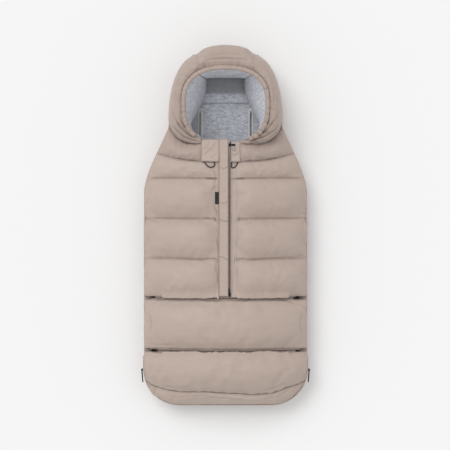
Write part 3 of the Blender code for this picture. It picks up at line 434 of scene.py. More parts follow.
materials = {
    "shell": makeCloth("taupeShell", shellCloth, 26.0),
    "hood": makeCloth("taupeHood", hoodCloth, 30.0),
    "trim": makeCloth("taupeTrim", trimCloth, 45.0, 0.0022),
    "jersey": makeJersey("heatherJersey", jerseyCloth),
    "backJersey": makeJersey("ribbedHeatherJersey", jerseyCloth, (0.381, 0.389)),
    "tape": makeTape("zipTape", (196, 179, 169), (168, 151, 141), 0.0008),
    "binding": makeTape("whiteBinding", (250, 250, 248), (226, 226, 224), 0.0009),
    "tag": makeTape("blackWovenTag", (48, 47, 47), (22, 21, 21), 0.0006),
    "cord": makeTape("blackBraid", (44, 42, 42), (14, 13, 13), 0.0009, 0.6),
    "coil": makeHard("taupeCoil", (150, 134, 125), (116, 101, 93), 0.6, 300.0),
    "pull": makeHard("blackRubberPull", (26, 25, 25), (14, 13, 13), 0.85, 240.0, specular=0.08),
    "metal": makeHard("blackPaintedMetal", (34, 33, 33), (16, 15, 15), 0.5, 220.0),
    "snap": makeHard("taupeSnap", (170, 154, 144), (150, 134, 125), 0.4, 180.0, metallic=0.2),
}
print("materials made")


# Shape of the footmuff, repeated from the CAD, for what lies on it
formValues = {
    "halfWidth": 0.236,
    "footEndY": -0.518,
    "footCorner": 0.102,
    "shoulderY": 0.100,
    "neckY": 0.270,
    "neckHalf": 0.165,
    "headCurveY": 0.300,
    "headEndY": 0.497,
    "headFlat": 0.075,
    "shoulderPower": 1.5,
    "headPower": 2.1,
    "seamHeight": 0.060,
    "domeRise": 0.072,
    "toeRound": 0.142,
    "waistY": -0.2088,
    "shinY": -0.3596,
    "zipHalf": 0.0065,
    "footSeamY": -0.4785,
    "hoodMiddleY": 0.352,
}


def halfWidthAt(y):
    form = formValues
    cornerY = form["footEndY"] + form["footCorner"]
    if y < cornerY:
        share = min(1, (cornerY - y) / form["footCorner"])
        return form["halfWidth"] - form["footCorner"] * (1 - math.sqrt(1 - share ** 2))
    if y < form["shoulderY"]:
        return form["halfWidth"]
    if y < form["neckY"]:
        share = (y - form["shoulderY"]) / (form["neckY"] - form["shoulderY"])
        return form["halfWidth"] + (form["neckHalf"] - form["halfWidth"]) * share ** form["shoulderPower"]
    if y < form["headCurveY"]:
        return form["neckHalf"]
    share = min(1, (y - form["headCurveY"]) / (form["headEndY"] - form["headCurveY"]))
    rest = (1 - share ** form["headPower"]) ** (1 / form["headPower"])
    return form["headFlat"] + (form["neckHalf"] - form["headFlat"]) * rest


def groundHeight(x, y):
    # Height of the base that the front panels lie on
    form = formValues
    half = form["halfWidth"]
    rise = form["domeRise"]
    radius = (half ** 2 + rise ** 2) / (2 * rise)
    edge = math.sqrt(radius ** 2 - halfWidthAt(y) ** 2)
    share = max(0, (math.sqrt(max(0, radius ** 2 - x ** 2)) - edge) / (radius - edge))
    toe = 1
    startY = form["footEndY"] + form["toeRound"]
    if y < startY:
        toe = math.sqrt(max(0, 1 - ((startY - y) / form["toeRound"]) ** 2))
    return form["seamHeight"] + rise * share * toe


# Soft pieces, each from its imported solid
meshValues = {"weld": 0.00005, "cutWeld": 0.00001, "sampleStep": 0.002}


def plainCopy(node, name, material):
    piece = bpy.data.objects.new(name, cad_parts[node].data.copy())
    scene.collection.objects.link(piece)
    piece.data.materials.clear()
    piece.data.materials.append(materials[material])
    return piece


def copyNode(node, name, material):
    # Welded and in quads, ready to be smoothed
    piece = plainCopy(node, name, material)
    pickOne(piece)
    bpy.ops.mesh.customdata_custom_splitnormals_clear()
    openMesh()
    bpy.ops.mesh.remove_doubles(threshold=meshValues["weld"])
    bpy.ops.mesh.tris_convert_to_quads(face_threshold=math.pi, shape_threshold=math.pi)
    closeMesh()
    return piece


def cutAcross(piece, axis, spacing):
    # Even cuts across one axis, so that a long plain face can bend
    shape = bmesh.new()
    shape.from_mesh(piece.data)
    low = min(corner.co[axis] for corner in shape.verts)
    high = max(corner.co[axis] for corner in shape.verts)
    count = round((high - low) / spacing)
    normal = Vector([1.0 if number == axis else 0.0 for number in range(3)])
    for step in range(1, count):
        everything = shape.verts[:] + shape.edges[:] + shape.faces[:]
        place = normal * (low + (high - low) * step / count)
        bmesh.ops.bisect_plane(
            shape, geom=everything, plane_co=place, plane_no=normal, dist=meshValues["cutWeld"]
        )
    shape.to_mesh(piece.data)
    shape.free()


def seamSamples(piece, sharpDegrees, isSeam):
    # Creases the sewn edges and returns points along them with their run
    shape = bmesh.new()
    shape.from_mesh(piece.data)
    shape.normal_update()
    crease = shape.edges.layers.float.get("crease_edge") or shape.edges.layers.float.new("crease_edge")
    sewn = []
    for edge in shape.edges:
        sharp = edge.is_manifold and edge.calc_face_angle(0) > math.radians(sharpDegrees)
        if sharp or (isSeam and isSeam(edge.verts[0].co, edge.verts[1].co)):
            edge[crease] = 1
            sewn.append(edge)
    joined = {}
    for edge in sewn:
        first, second = edge.verts
        joined.setdefault(first.index, []).append((second.index, edge.calc_length()))
        joined.setdefault(second.index, []).append((first.index, edge.calc_length()))
    run = {}
    for corner in sorted(joined):
        if corner in run:
            continue
        waiting = [(0.0, corner)]
        while waiting:
            reached, at = heapq.heappop(waiting)
            if at in run:
                continue
            run[at] = reached
            for other, length in joined[at]:
                if other not in run:
                    heapq.heappush(waiting, (reached + length, other))
    samples = []
    for edge in sewn:
        first, second = edge.verts
        count = max(1, round(edge.calc_length() / meshValues["sampleStep"]))
        for number in range(count + 1):
            share = number / count
            place = first.co.lerp(second.co, share)
            samples.append((place, run[first.index] * (1 - share) + run[second.index] * share))
    shape.to_mesh(piece.data)
    shape.free()
    return samples


class SeamMap:
    # Distance to the nearest seam, and how far along it that is
    def __init__(self, samples):
        self.runs = [run for place, run in samples]
        self.tree = pointTree([place for place, run in samples])

    def nearest(self, place):
        spot, number, distance = self.tree.find(place)
        return distance, self.runs[number]

    def measure(self, piece):
        return [self.nearest(corner.co) for corner in piece.data.vertices]


def storeValues(piece, label, values):
    layer = piece.data.attributes.get(label) or piece.data.attributes.new(label, "FLOAT", "POINT")
    layer.data.foreach_set("value", values)


def readShades(piece):
    shades = [0.0] * len(piece.data.vertices)
    layer = piece.data.attributes.get("foldShade")
    if layer:
        layer.data.foreach_get("value", shades)
    return shades


def storeSeams(piece, measured):
    storeValues(piece, "seamGap", [distance for distance, run in measured])
    storeValues(piece, "seamRun", [run for distance, run in measured])


airValues = {"frames": 20, "quality": 5, "mass": 0.12, "nearPins": 3, "nearHold": 0.35}


def inflate(piece, seams, values, isHeld):
    # Cloth simulation: the seams are pinned and the air inside swells the rest
    air = airValues
    held = piece.vertex_groups.new(name="held")
    start = [corner.co.copy() for corner in piece.data.vertices]
    for corner in piece.data.vertices:
        distance = seams.nearest(corner.co)[0]
        if isHeld(corner.co, corner.normal) or distance < values["pinReach"]:
            held.add([corner.index], 1.0, "REPLACE")
        elif distance < values["pinReach"] * air["nearPins"]:
            held.add([corner.index], air["nearHold"], "REPLACE")
    step = piece.modifiers.new("air", "CLOTH")
    cloth = step.settings
    cloth.quality = air["quality"]
    cloth.mass = air["mass"]
    cloth.tension_stiffness = values["stiffness"]
    cloth.compression_stiffness = values["stiffness"]
    cloth.shear_stiffness = values["stiffness"] / 3
    cloth.bending_stiffness = values["bending"]
    cloth.use_pressure = True
    cloth.uniform_pressure_force = values["pressure"]
    cloth.shrink_min = -values["spareCloth"]
    cloth.effector_weights.gravity = 0
    cloth.vertex_group_mass = "held"
    step.collision_settings.use_collision = False
    step.point_cache.frame_start = 1
    step.point_cache.frame_end = air["frames"]
    for number in range(1, air["frames"] + 1):
        scene.frame_set(number)
    applyAll(piece)
    scene.frame_set(1)
    for corner, before in zip(piece.data.vertices, start):
        moved = corner.co - before
        if moved.length > values["cap"]:
            corner.co = before + moved * (values["cap"] / moved.length)
    piece.vertex_groups.clear()


def gather(piece, measured, values, isHeld, seed):
    # The thread pulls the seam in, and small folds run out from it
    depth = values.get("gatherDepth", 0)
    if not depth:
        return
    groove = values.get("grooveDepth", 0)
    width = values.get("grooveWidth", 1.0)
    reach = values["gatherReach"]
    spacing = values["gatherSpacing"]
    normals = [corner.normal.copy() for corner in piece.data.vertices]
    for corner, normal, (distance, run) in zip(piece.data.vertices, normals, measured):
        if distance > reach * 4 or isHeld(corner.co, normal):
            continue
        fold = noise.noise(Vector((run / spacing, distance / (reach * 3), seed)))
        fold += 0.5 * noise.noise(Vector((run / spacing * 2.3, distance / (reach * 2), seed + 7)))
        rise = min(1.0, distance / foldValues["start"])
        shift = depth * fold * rise * math.exp(-distance / reach)
        corner.co += normal * (shift - groove * bell(distance, width))


def pathDistance(x, y, path):
    # Distance in plan to a bent line, and the share of its length passed there
    best = None
    passed = 0
    for (startX, startY), (endX, endY) in zip(path, path[1:]):
        spanX = endX - startX
        spanY = endY - startY
        length = math.hypot(spanX, spanY)
        share = max(0, min(1, ((x - startX) * spanX + (y - startY) * spanY) / length ** 2))
        distance = math.hypot(x - startX - spanX * share, y - startY - spanY * share)
        if best is None or distance < best[0]:
            best = (distance, passed + share * length)
        passed += length
    return best[0], best[1] / passed


foldValues = {"start": 0.004, "reach": 5, "fade": 5, "ridgeAway": 2.2, "ridge": 0.35, "line": 0.0016, "shade": 0.25}


def pressFolds(piece, folds):
    # Valleys with a small ridge beside them, that fade towards their ends. Each fold is its
    # path in the picture, its depth and width, and how dark the painted shade along its line is.
    shades = readShades(piece)
    for path, depth, width, *shade in folds:
        path = [toPlan(*spot) for spot in path]
        darkness = shade[0] if shade else foldValues["shade"]
        reach = width * foldValues["reach"]
        lowX, lowY = [min(spot[axis] for spot in path) - reach for axis in (0, 1)]
        highX, highY = [max(spot[axis] for spot in path) + reach for axis in (0, 1)]
        for corner in piece.data.vertices:
            x, y, z = corner.co
            if corner.normal.z < 0.1 or not (lowX < x < highX and lowY < y < highY):
                continue
            distance, share = pathDistance(x, y, path)
            if distance > reach:
                continue
            fade = min(1, share * foldValues["fade"], (1 - share) * foldValues["fade"])
            ridge = bell(distance - width * foldValues["ridgeAway"], width)
            corner.co.z -= depth * fade * (bell(distance, width) - foldValues["ridge"] * ridge)
            # Painted shade along the bottom of the valley
            line = bell(distance, min(width, foldValues["line"]))
            shades[corner.index] = max(shades[corner.index], darkness * fade * line)
    storeValues(piece, "foldShade", shades)


def toPlan(pixelX, pixelY, height=0.13):
    # Place on the model under a place in the picture
    grow = cameraValues["height"] / (cameraValues["height"] + cameraValues["objectPlane"] - height)
    scale = cameraValues["frameWidth"] / 450
    x = (pixelX - 225) * scale / grow + cameraValues["lookX"]
    y = (225 - pixelY) * scale / grow + cameraValues["lookY"]
    return x, y


softCloth = {
    "levels": 2,
    "fineLevels": 1,
    "pinReach": 0.0022,
    "stiffness": 6.0,
    "bending": 0.25,
    "pressure": 5.0,
    "spareCloth": 0.03,
    "cap": 0.0035,
    "gatherDepth": 0.0016,
    "gatherReach": 0.011,
    "gatherSpacing": 0.008,
    "grooveDepth": 0.0012,
    "grooveWidth": 0.0022,
}
liningCloth = {"levels": 2, "fineLevels": 0}
hoodLiningCloth = {
    "levels": 2,
    "fineLevels": 1,
    "gatherDepth": 0.0016,
    "gatherReach": 0.022,
    "gatherSpacing": 0.014,
}


def underside(place, normal):
    return normal.z < 0.15


def hoodInside(place, normal):
    # The side of a hood cushion that faces the opening
    inward = Vector((-place.x, formValues["hoodMiddleY"] - place.y, 0))
    return normal.z < -0.3 or inward.normalized().dot(normal) > 0.45


def neverHeld(place, normal):
    return False


def makeSoft(
    node, body, material, values, isHeld=underside, isSeam=None,
    name=None, sharpDegrees=50, seed=0.0, shape=None,
):
    piece = copyNode(node, name or camelName(node), material)
    for axis, spacing in values.get("cuts", ()):
        cutAcross(piece, axis, spacing)
    seams = SeamMap(seamSamples(piece, sharpDegrees, isSeam))
    subdivide(piece, values["levels"])
    if values.get("pressure"):
        inflate(piece, seams, values, isHeld)
    if values["fineLevels"]:
        subdivide(piece, values["fineLevels"])
    measured = seams.measure(piece)
    gather(piece, measured, values, isHeld, seed)
    storeSeams(piece, measured)
    if shape:
        shape(piece)
    smoothShade(piece)
    handOver(piece, [node], body)


# Lips of cloth that roll over the zips across the front, and the short hems that face them
lipValues = {
    "reach": 0.0102,
    "lift": 0.0050,
    "endX": 0.186,
    "endFade": 0.006,
    "notchReach": 0.0014,
    "depth": 0.008,
    "sway": 0.0012,
    "swayLength": 0.035,
}
shortValues = {"reach": 0.0024, "depth": 0.005, "far": 0.02, "sway": 0.0008, "swayLength": 0.03}
hemValues = {"below": 0.004, "clear": 0.0004, "edgeThickness": 0.0045}


def shareAbove(x, y, z, values):
    # 0 on the ground under a panel, 1 at the top of its edge
    return clamp((z - groundHeight(x, y) - values["clear"]) / values["edgeThickness"])


def rollHem(piece, hemY, side):
    # side is +1 where the hem's own panel lies on the +Y side of it. The ends stay open for
    # the slider and its pull.
    lip = lipValues
    for corner in piece.data.vertices:
        x, y, z = corner.co
        inside = (y - hemY) * side
        if inside > lip["depth"] * 3 or inside < -hemValues["below"]:
            continue
        clear = smoothShare(clamp((lip["endX"] - abs(x)) / lip["endFade"]))
        if inside < 0:
            y = hemY + (y - hemY) * clear
            corner.co.y = y
            inside *= clear
        share = shareAbove(x, y, z, hemValues)
        if not share:
            continue
        near = bell(max(0, inside), lip["depth"])
        reach = lip["reach"] + lip["sway"] * noise.noise(Vector((x / lip["swayLength"], hemY * 50, 3.0)))
        reach = lip["notchReach"] + (reach * share ** 2 - lip["notchReach"]) * clear
        corner.co.y -= side * reach * near
        corner.co.z += lip["lift"] * near * clear * share ** 0.35


def shortHem(piece, hemY, side):
    # The facing hem, which stays on its own side of the zip
    short = shortValues
    for corner in piece.data.vertices:
        x, y, z = corner.co
        inside = (y - hemY) * side
        if inside > short["far"] or inside < -hemValues["below"]:
            continue
        share = shareAbove(x, y, z, hemValues)
        near = bell(max(0, inside), short["depth"])
        sway = short["sway"] * noise.noise(Vector((x / short["swayLength"], hemY * 50, 9.0)))
        corner.co.y -= side * (short["reach"] + sway) * near * share ** 2


# Front flaps
seamYs = (-0.0957, 0.0203, 0.1363)
seamValues = {"level": 0.0006, "above": 0.003, "sag": 0.0032, "sagReach": 0.03, "sagEndX": 0.16}
holdValues = {"leftX": -0.0345, "rightX": 0.0315, "leftLoop": (-0.068, -0.024), "rightLoop": 0.042, "loopY": 0.160}
yokeCloth = {**softCloth, "cap": 0.003}


def isChannelSeam(first, second):
    near = seamValues["level"]
    level = [abs(first.y - seamY) < near and abs(second.y - seamY) < near for seamY in seamYs]
    middle = (first + second) / 2
    return any(level) and middle.z > groundHeight(middle.x, middle.y) + seamValues["above"]


def heldLeft(place, normal):
    startX, endX = holdValues["leftLoop"]
    underLoop = startX < place.x < endX and place.y > holdValues["loopY"]
    return underside(place, normal) or place.x > holdValues["leftX"] or underLoop


def heldRight(place, normal):
    underLoop = place.x < holdValues["rightLoop"] and place.y > holdValues["loopY"]
    return underside(place, normal) or place.x < holdValues["rightX"] or underLoop


marginValues = {
    "inner": -0.0192,
    "old": 0.0153,
    "new": 0.0045,
    "far": 0.060,
    "tagY": 0.0785,
    "tagHalf": 0.028,
    "tagFade": 0.010,
    "loopY": 0.157,
    "loopFade": 0.012,
    "lowX": 0.0345,
    "lowFade": 0.004,
    "low": 0.0020,
    "clear": 0.001,
    "edgeThickness": 0.003,
}


def closeMargin(piece):
    # The puffs of the left flap reach on to the placket, except under the tag and the loop
    margin = marginValues
    for corner in piece.data.vertices:
        x, y, z = corner.co
        away = margin["inner"] - x
        if away < 0 or away > margin["far"]:
            continue
        besideTag = clamp((abs(y - margin["tagY"]) - margin["tagHalf"]) / margin["tagFade"])
        belowLoop = clamp((margin["loopY"] - y) / margin["loopFade"])
        share = shareAbove(x, y, z, margin) * (besideTag * belowLoop)
        if away < margin["old"]:
            placed = away * margin["new"] / margin["old"]
        else:
            rest = (away - margin["old"]) / (margin["far"] - margin["old"])
            placed = margin["new"] + (margin["far"] - margin["new"]) * rest
        corner.co.x -= (placed - away) * share


def lowerMargin(piece):
    # The right flap's margin lies low, so that the main pull passes over it
    margin = marginValues
    for corner in piece.data.vertices:
        x, y, z = corner.co
        besideZip = clamp((margin["lowX"] - x) / margin["lowFade"])
        belowLoop = clamp((margin["loopY"] - y) / margin["loopFade"])
        corner.co.z -= margin["low"] * (shareAbove(x, y, z, margin) * (besideZip * belowLoop))


def sagSeams(piece):
    # The channel seams hang a little towards the placket
    for corner in piece.data.vertices:
        x, y, z = corner.co
        for seamY in seamYs:
            near = bell(y - seamY, seamValues["sagReach"])
            corner.co.y -= seamValues["sag"] * near * max(0, 1 - abs(x) / seamValues["sagEndX"])


frontFolds = {
    "left": (
        (((204, 178), (212, 178.6), (219, 179)), 0.0022, 0.0020, 0.6),
        (((204, 218.2), (212, 218.8), (219, 219)), 0.0022, 0.0020, 0.6),
        (((204, 258.2), (212, 258.8), (219, 259)), 0.0022, 0.0020, 0.6),
        (((147, 257), (170, 257.5), (200, 259.5), (214, 261)), 0.0010, 0.0024),
        (((150, 303), (160, 299), (172, 296)), 0.0018, 0.0022),
        (((145, 217), (152, 221), (160, 222)), 0.0018, 0.0022),
        (((213, 168), (216, 176), (214, 190)), 0.0012, 0.0022),
        (((214, 205), (217, 214), (213, 222)), 0.0016, 0.0022),
        (((213, 256), (217, 262), (215, 272)), 0.0014, 0.0022),
    ),
    "right": (
        (((228, 179.5), (236, 179), (246, 178.6)), 0.0022, 0.0020, 0.6),
        (((228, 219.6), (236, 219), (246, 218.8)), 0.0022, 0.0020, 0.6),
        (((228, 259.6), (236, 259), (246, 258.8)), 0.0022, 0.0020, 0.6),
        (((240, 261), (262, 259), (290, 257), (304, 258)), 0.0010, 0.0024),
        (((303, 214), (307, 212)), 0.0015, 0.0022),
        (((232, 218), (240, 220), (250, 220)), 0.0014, 0.0022),
        (((285, 301), (296, 303), (305, 306)), 0.0018, 0.0022),
        (((296, 258), (302, 255), (306, 258)), 0.0020, 0.0022),
    ),
}


def makeFront():
    hemY = formValues["waistY"] + formValues["zipHalf"]
    for word, isHeld, seed in (("left", heldLeft, 1.0), ("right", heldRight, 5.0)):
        body = word + "_flap"

        def shapeFront(piece, word=word):
            if word == "left":
                closeMargin(piece)
            else:
                lowerMargin(piece)
            sagSeams(piece)
            pressFolds(piece, frontFolds[word])
            rollHem(piece, hemY, 1)

        makeSoft("front_" + word, body, "shell", softCloth, isHeld, isChannelSeam, seed=seed, shape=shapeFront)
        liningName = "frontLining" + word.capitalize()
        makeSoft("front_" + word + "_lining", body, "jersey", liningCloth, name=liningName)
        makeSoft("yoke_" + word, body, "hood", yokeCloth, seed=seed + 2)


makeFront()
print("front flaps made")

# Thigh and foot panels
wideCloth = {**softCloth, "gatherDepth": 0.0018, "gatherReach": 0.012, "gatherSpacing": 0.009, "cap": 0.003}
swayValues = {"reach": 0.020, "least": 0.01, "pixel": 0.0029, "middlePixel": 225.5}
footWaves = (
    (145, 0), (153, 3), (160, 1), (175, 1), (205, 0), (225, 1),
    (238, 1.6), (250, 2.9), (270, 2.5), (290, -1), (306, 0),
)


def swayFootSeam(piece):
    # The seam wanders along the foot, as it was pulled in sewing
    sway = swayValues
    for corner in piece.data.vertices:
        x, y, z = corner.co
        near = bell(y - formValues["footSeamY"], sway["reach"])
        if near < sway["least"]:
            continue
        pixel = x / sway["pixel"] + sway["middlePixel"]
        shift = 0
        for (startPixel, startShift), (endPixel, endShift) in zip(footWaves, footWaves[1:]):
            if startPixel <= pixel < endPixel:
                share = smoothShare((pixel - startPixel) / (endPixel - startPixel))
                shift = startShift + (endShift - startShift) * share
        newY = y - shift * sway["pixel"] * near
        corner.co.y = newY
        corner.co.z = z + groundHeight(x, newY) - groundHeight(x, y)


thighFolds = (
    (((147, 308), (158, 301), (172, 298.5), (190, 298), (212, 301), (228, 303)), 0.0020, 0.0021),
    (((236, 302), (255, 299.5), (278, 300), (292, 303), (305, 308)), 0.0020, 0.0021),
    (((146, 345), (160, 345.5), (178, 344.5)), 0.0010, 0.0020),
    (((148, 312), (151, 322), (149, 334)), 0.0010, 0.0024),
    (((303, 312), (300, 324), (303, 336)), 0.0010, 0.0024),
)
footFolds = (
    (((148, 353), (168, 354.5), (190, 353), (214, 355)), 0.0018, 0.0020),
    (((238, 355), (262, 353), (284, 354.5), (303, 352)), 0.0018, 0.0020),
    (((160, 386), (175, 388), (190, 386)), 0.0014, 0.0022),
    (((262, 389), (276, 387), (288, 383)), 0.0014, 0.0022),
)
bandFolds = (
    (((170, 399), (200, 396), (230, 399), (252, 401)), 0.0012, 0.0022),
    (((262, 399), (278, 397), (290, 392)), 0.0012, 0.0022),
)


def makeWide():
    form = formValues

    def shapeThigh(piece):
        pressFolds(piece, thighFolds)
        shortHem(piece, form["waistY"] - form["zipHalf"], -1)
        shortHem(piece, form["shinY"] + form["zipHalf"], 1)

    def shapeFoot(piece):
        pressFolds(piece, footFolds)
        rollHem(piece, form["shinY"] - form["zipHalf"], -1)
        swayFootSeam(piece)

    def shapeBand(piece):
        pressFolds(piece, bandFolds)
        swayFootSeam(piece)

    makeSoft("thigh_panel", "footmuff_back", "shell", wideCloth, seed=11.0, shape=shapeThigh)
    makeSoft("foot_panel", "foot_flap", "shell", wideCloth, seed=13.0, shape=shapeFoot)
    makeSoft("foot_band", "foot_flap", "shell", wideCloth, seed=17.0, shape=shapeBand)
    makeSoft("thigh_lining", "footmuff_back", "jersey", liningCloth)
    makeSoft("foot_lining", "foot_flap", "jersey", liningCloth)


makeWide()
print("thigh and foot panels made")

# Placket and throat tabs
trimCrease = {"levels": 2, "fineLevels": 1, "gatherDepth": 0.0006, "gatherReach": 0.010, "gatherSpacing": 0.012}
placketCuts = ((0, 0.0066), (1, 0.010))
placketFolds = (
    (((218, 167), (224, 169), (230, 166)), 0.0010, 0.0018, 0.3),
    (((218, 202), (224, 204), (230, 201)), 0.0010, 0.0018, 0.3),
    (((218, 219), (223, 221), (230, 222)), 0.0012, 0.0018, 0.4),
    (((218, 256), (224, 258), (230, 261)), 0.0012, 0.0018, 0.4),
)
tabFolds = (
    (((203, 157), (208, 151), (212, 148), (217, 141)), 0.0010, 0.0018, 0.3),
    (((206, 146), (210, 149), (214, 151)), 0.0007, 0.0018, 0.15),
    (((203, 150), (207, 146), (210, 141)), 0.0007, 0.0016, 0.2),
    (((211, 159), (214, 155), (218, 153)), 0.0008, 0.0016, 0.2),
)
rightTabFolds = (
    (((231, 152), (235, 156), (240, 151)), 0.0008, 0.0016, 0.35),
    (((230, 158), (235, 154), (240, 156)), 0.0006, 0.0016, 0.25),
)


def makeTrims():
    for node, name, body, cuts, folds, seed in (
        ("placket", "placketStrip", "left_flap", placketCuts, placketFolds, 19.0),
        ("throat_tab_left", "throatTabLeft", "left_flap", (), tabFolds, 23.0),
        ("throat_tab_right", "throatTabRight", "right_flap", (), rightTabFolds, 29.0),
    ):
        def shapeTrim(piece, folds=folds):
            pressFolds(piece, folds)

        values = {**trimCrease, "cuts": cuts}
        makeSoft(node, body, "trim", values, name=name, seed=seed, shape=shapeTrim)


makeTrims()
print("placket and tabs made")

# Hood
puffCloth = {
    **softCloth,
    "gatherDepth": 0.0012,
    "gatherReach": 0.010,
    "gatherSpacing": 0.009,
    "grooveDepth": 0,
    "cap": 0.0014,
}
hoodFolds = {
    "left": (
        (((171, 124), (177, 131), (184, 137), (192, 140), (201, 142)), 0.0040, 0.0028, 0.6),
        (((176, 120), (180, 127), (187, 133), (196, 138)), 0.0034, 0.0024, 0.42),
        (((180, 118), (184, 125), (190, 131), (197, 135)), 0.0022, 0.0020, 0.3),
        (((172, 110), (175, 119), (181, 127)), 0.0028, 0.0024, 0.25),
        (((176, 90), (175, 100), (177, 112)), 0.0016, 0.0026, 0.1),
        (((183, 71), (179, 78), (177, 88)), 0.0016, 0.0026, 0.1),
        (((169, 124), (172, 131), (178, 137)), 0.0022, 0.0026, 0.5),
        (((199, 56), (204, 58), (211, 58)), 0.0020, 0.0024, 0.2),
    ),
    "right": (
        (((280, 122), (275, 130), (266, 136), (256, 139), (243, 141)), 0.0040, 0.0028, 0.6),
        (((274, 120), (269, 128), (261, 134), (251, 138)), 0.0034, 0.0024, 0.42),
        (((270, 118), (266, 125), (259, 131), (251, 135)), 0.0022, 0.0020, 0.3),
        (((279, 110), (276, 119), (269, 127)), 0.0028, 0.0024, 0.25),
        (((272, 88), (274, 98), (273, 112)), 0.0016, 0.0026, 0.1),
        (((265, 70), (270, 77), (273, 87)), 0.0016, 0.0026, 0.1),
        (((283, 122), (279, 130), (272, 136)), 0.0022, 0.0026, 0.5),
        (((254, 56), (249, 58), (242, 58)), 0.0020, 0.0024, 0.2),
    ),
    "centre": (
        (((204, 62), (214, 60.5), (227, 60), (240, 60.5), (250, 62)), 0.0018, 0.0026, 0.12),
        (((208, 57), (227, 55.5), (246, 57)), 0.0008, 0.0034, 0.05),
    ),
}
rimValues = {
    "pleat": 0.0065,
    "depth": 0.0021,
    "reach": 0.016,
    "widen": 1.3,
    "draw": 0.0075,
    "middleY": 0.345,
    "meanRadius": 0.10,
    "topShare": 0.55,
    "lowShare": 0.65,
    "lowY": 0.34,
    "lowFade": 0.06,
    "shadeStart": 0.12,
    "shadeGain": 1.1,
    "darkest": 0.4,
}


def ruffle(piece, tree=None):
    # The drawcord pulls the edge in, and pleats run out from the rim, with painted shade in
    # their hollows. The rim itself needs no tree of its points.
    rim = rimValues
    shades = readShades(piece)
    normals = [corner.normal.copy() for corner in piece.data.vertices]
    for corner, normal in zip(piece.data.vertices, normals):
        nearest, number, distance = tree.find(corner.co) if tree else (corner.co, 0, 0.0)
        if distance > rim["reach"] * 3.5 or (tree and hoodInside(corner.co, normal)):
            continue
        run = math.atan2(corner.co.y - rim["middleY"], corner.co.x) * rim["meanRadius"]
        low = rim["topShare"] + rim["lowShare"] * clamp((rim["lowY"] - corner.co.y) / rim["lowFade"])
        fold = noise.noise(Vector((run / rim["pleat"], distance / 0.03, 5.0)))
        fold += 0.5 * noise.noise(Vector((run / rim["pleat"] * 2.1, distance / 0.02, 9.0)))
        fade = math.exp(-distance / rim["reach"])
        if tree and distance < rim["draw"]:
            corner.co = corner.co.lerp(nearest, 0.5 * (1 - distance / rim["draw"]))
        corner.co += normal * (rim["depth"] * low * fold * fade)
        # Painted shade in the hollows of the pleats
        shade = max(0, -fold - rim["shadeStart"]) * rim["shadeGain"] * fade * low
        shades[corner.index] = max(shades[corner.index], min(rim["darkest"], shade))
    storeValues(piece, "foldShade", shades)


panelValues = {
    "lowY": 0.40,
    "cutX": 0.080,
    "cutReach": 0.004,
    "close": 0.0018,
    "broadenY": 0.490,
    "broadenSpan": 0.018,
    "broadenHalf": 0.085,
    "broaden": 0.20,
    "topY": 0.500,
    "flatten": 0.73,
}


def shapePanel(piece, isCentre):
    # Closes the seams between the hood's panels and rounds the top of the middle one
    panel = panelValues
    for corner in piece.data.vertices:
        x, y, z = corner.co
        if y < panel["lowY"]:
            continue
        side = 1 if x > 0 else -1
        near = bell(abs(x) - panel["cutX"], panel["cutReach"])
        x += side * panel["close"] * near * (1 if isCentre else -1)
        if isCentre and y > panel["broadenY"]:
            share = min(1, (y - panel["broadenY"]) / panel["broadenSpan"])
            x *= 1 + panel["broaden"] * share * max(0, 1 - (abs(x) / panel["broadenHalf"]) ** 4)
            if y > panel["topY"]:
                y = panel["topY"] + (y - panel["topY"]) * panel["flatten"]
        corner.co = (x, y, z)


def widenRim(piece):
    # Spreads the tunnel outward over the seam to the hood
    rim = rimValues
    sectors = {}
    for corner in piece.data.vertices:
        x, y = corner.co.x, corner.co.y - rim["middleY"]
        sectors.setdefault(round(math.atan2(y, x) * 20), []).append(math.hypot(x, y))
    middles = {key: (min(radii) + max(radii)) / 2 for key, radii in sectors.items()}
    for corner in piece.data.vertices:
        x, y = corner.co.x, corner.co.y - rim["middleY"]
        radius = math.hypot(x, y)
        middle = middles[round(math.atan2(y, x) * 20)]
        if radius > middle:
            grow = (middle + (radius - middle) * rim["widen"]) / radius
            corner.co.x *= grow
            corner.co.y = rim["middleY"] + y * grow


def makeHood():
    tree = pointTree([corner.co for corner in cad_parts["hood_rim_tunnel"].data.vertices])
    body = "footmuff_back"
    for word, seed in (("left", 31.0), ("centre", 37.0), ("right", 41.0)):
        def shapeHood(piece, word=word):
            shapePanel(piece, word == "centre")
            ruffle(piece, tree)
            pressFolds(piece, hoodFolds[word])

        makeSoft("hood_" + word, body, "hood", puffCloth, hoodInside, sharpDegrees=58, seed=seed, shape=shapeHood)
        makeSoft("hood_lining_" + word, body, "jersey", hoodLiningCloth, neverHeld, seed=seed + 1)

    def shapeRim(piece):
        widenRim(piece)
        ruffle(piece)

    rimCloth = {"levels": 2, "fineLevels": 1}
    makeSoft("hood_rim_tunnel", body, "hood", rimCloth, name="hoodRim", shape=shapeRim)


makeHood()
print("hood made")

# Back: padded tub and its jersey lining, with the harness slots cut through
backValues = {
    "wallRound": 0.055,
    "padThickness": 0.0168,
    "liningStart": 0.0177,
    "liningThickness": 0.0022,
    "columns": 72,
    "headRows": 60,
    "footRows": 18,
    "sideRows": 50,
    "shoulderRows": 24,
    "outlineSteps": 4000,
    "endSteps": 400,
}
drapeValues = {
    "lipY": 0.356,
    "lipLift": 0.0065,
    "lipRise": 0.003,
    "lipHalf": 0.118,
    "lipEndY": 0.47,
    "fade": 0.02,
    "roll": 0.002,
    "rollReach": 0.005,
    "wrinkle": 0.0012,
    "wrinkleHalf": 0.12,
    "wrinkleFade": 0.05,
}
# Each slot is its middle, width and length
slotValues = (
    (-0.074, 0.270, 0.0122, 0.1402),
    (0.074, 0.270, 0.0122, 0.1402),
    (-0.115, -0.030, 0.0122, 0.0702),
    (0.115, -0.030, 0.0122, 0.0702),
    (0.0, -0.130, 0.0602, 0.0122),
)


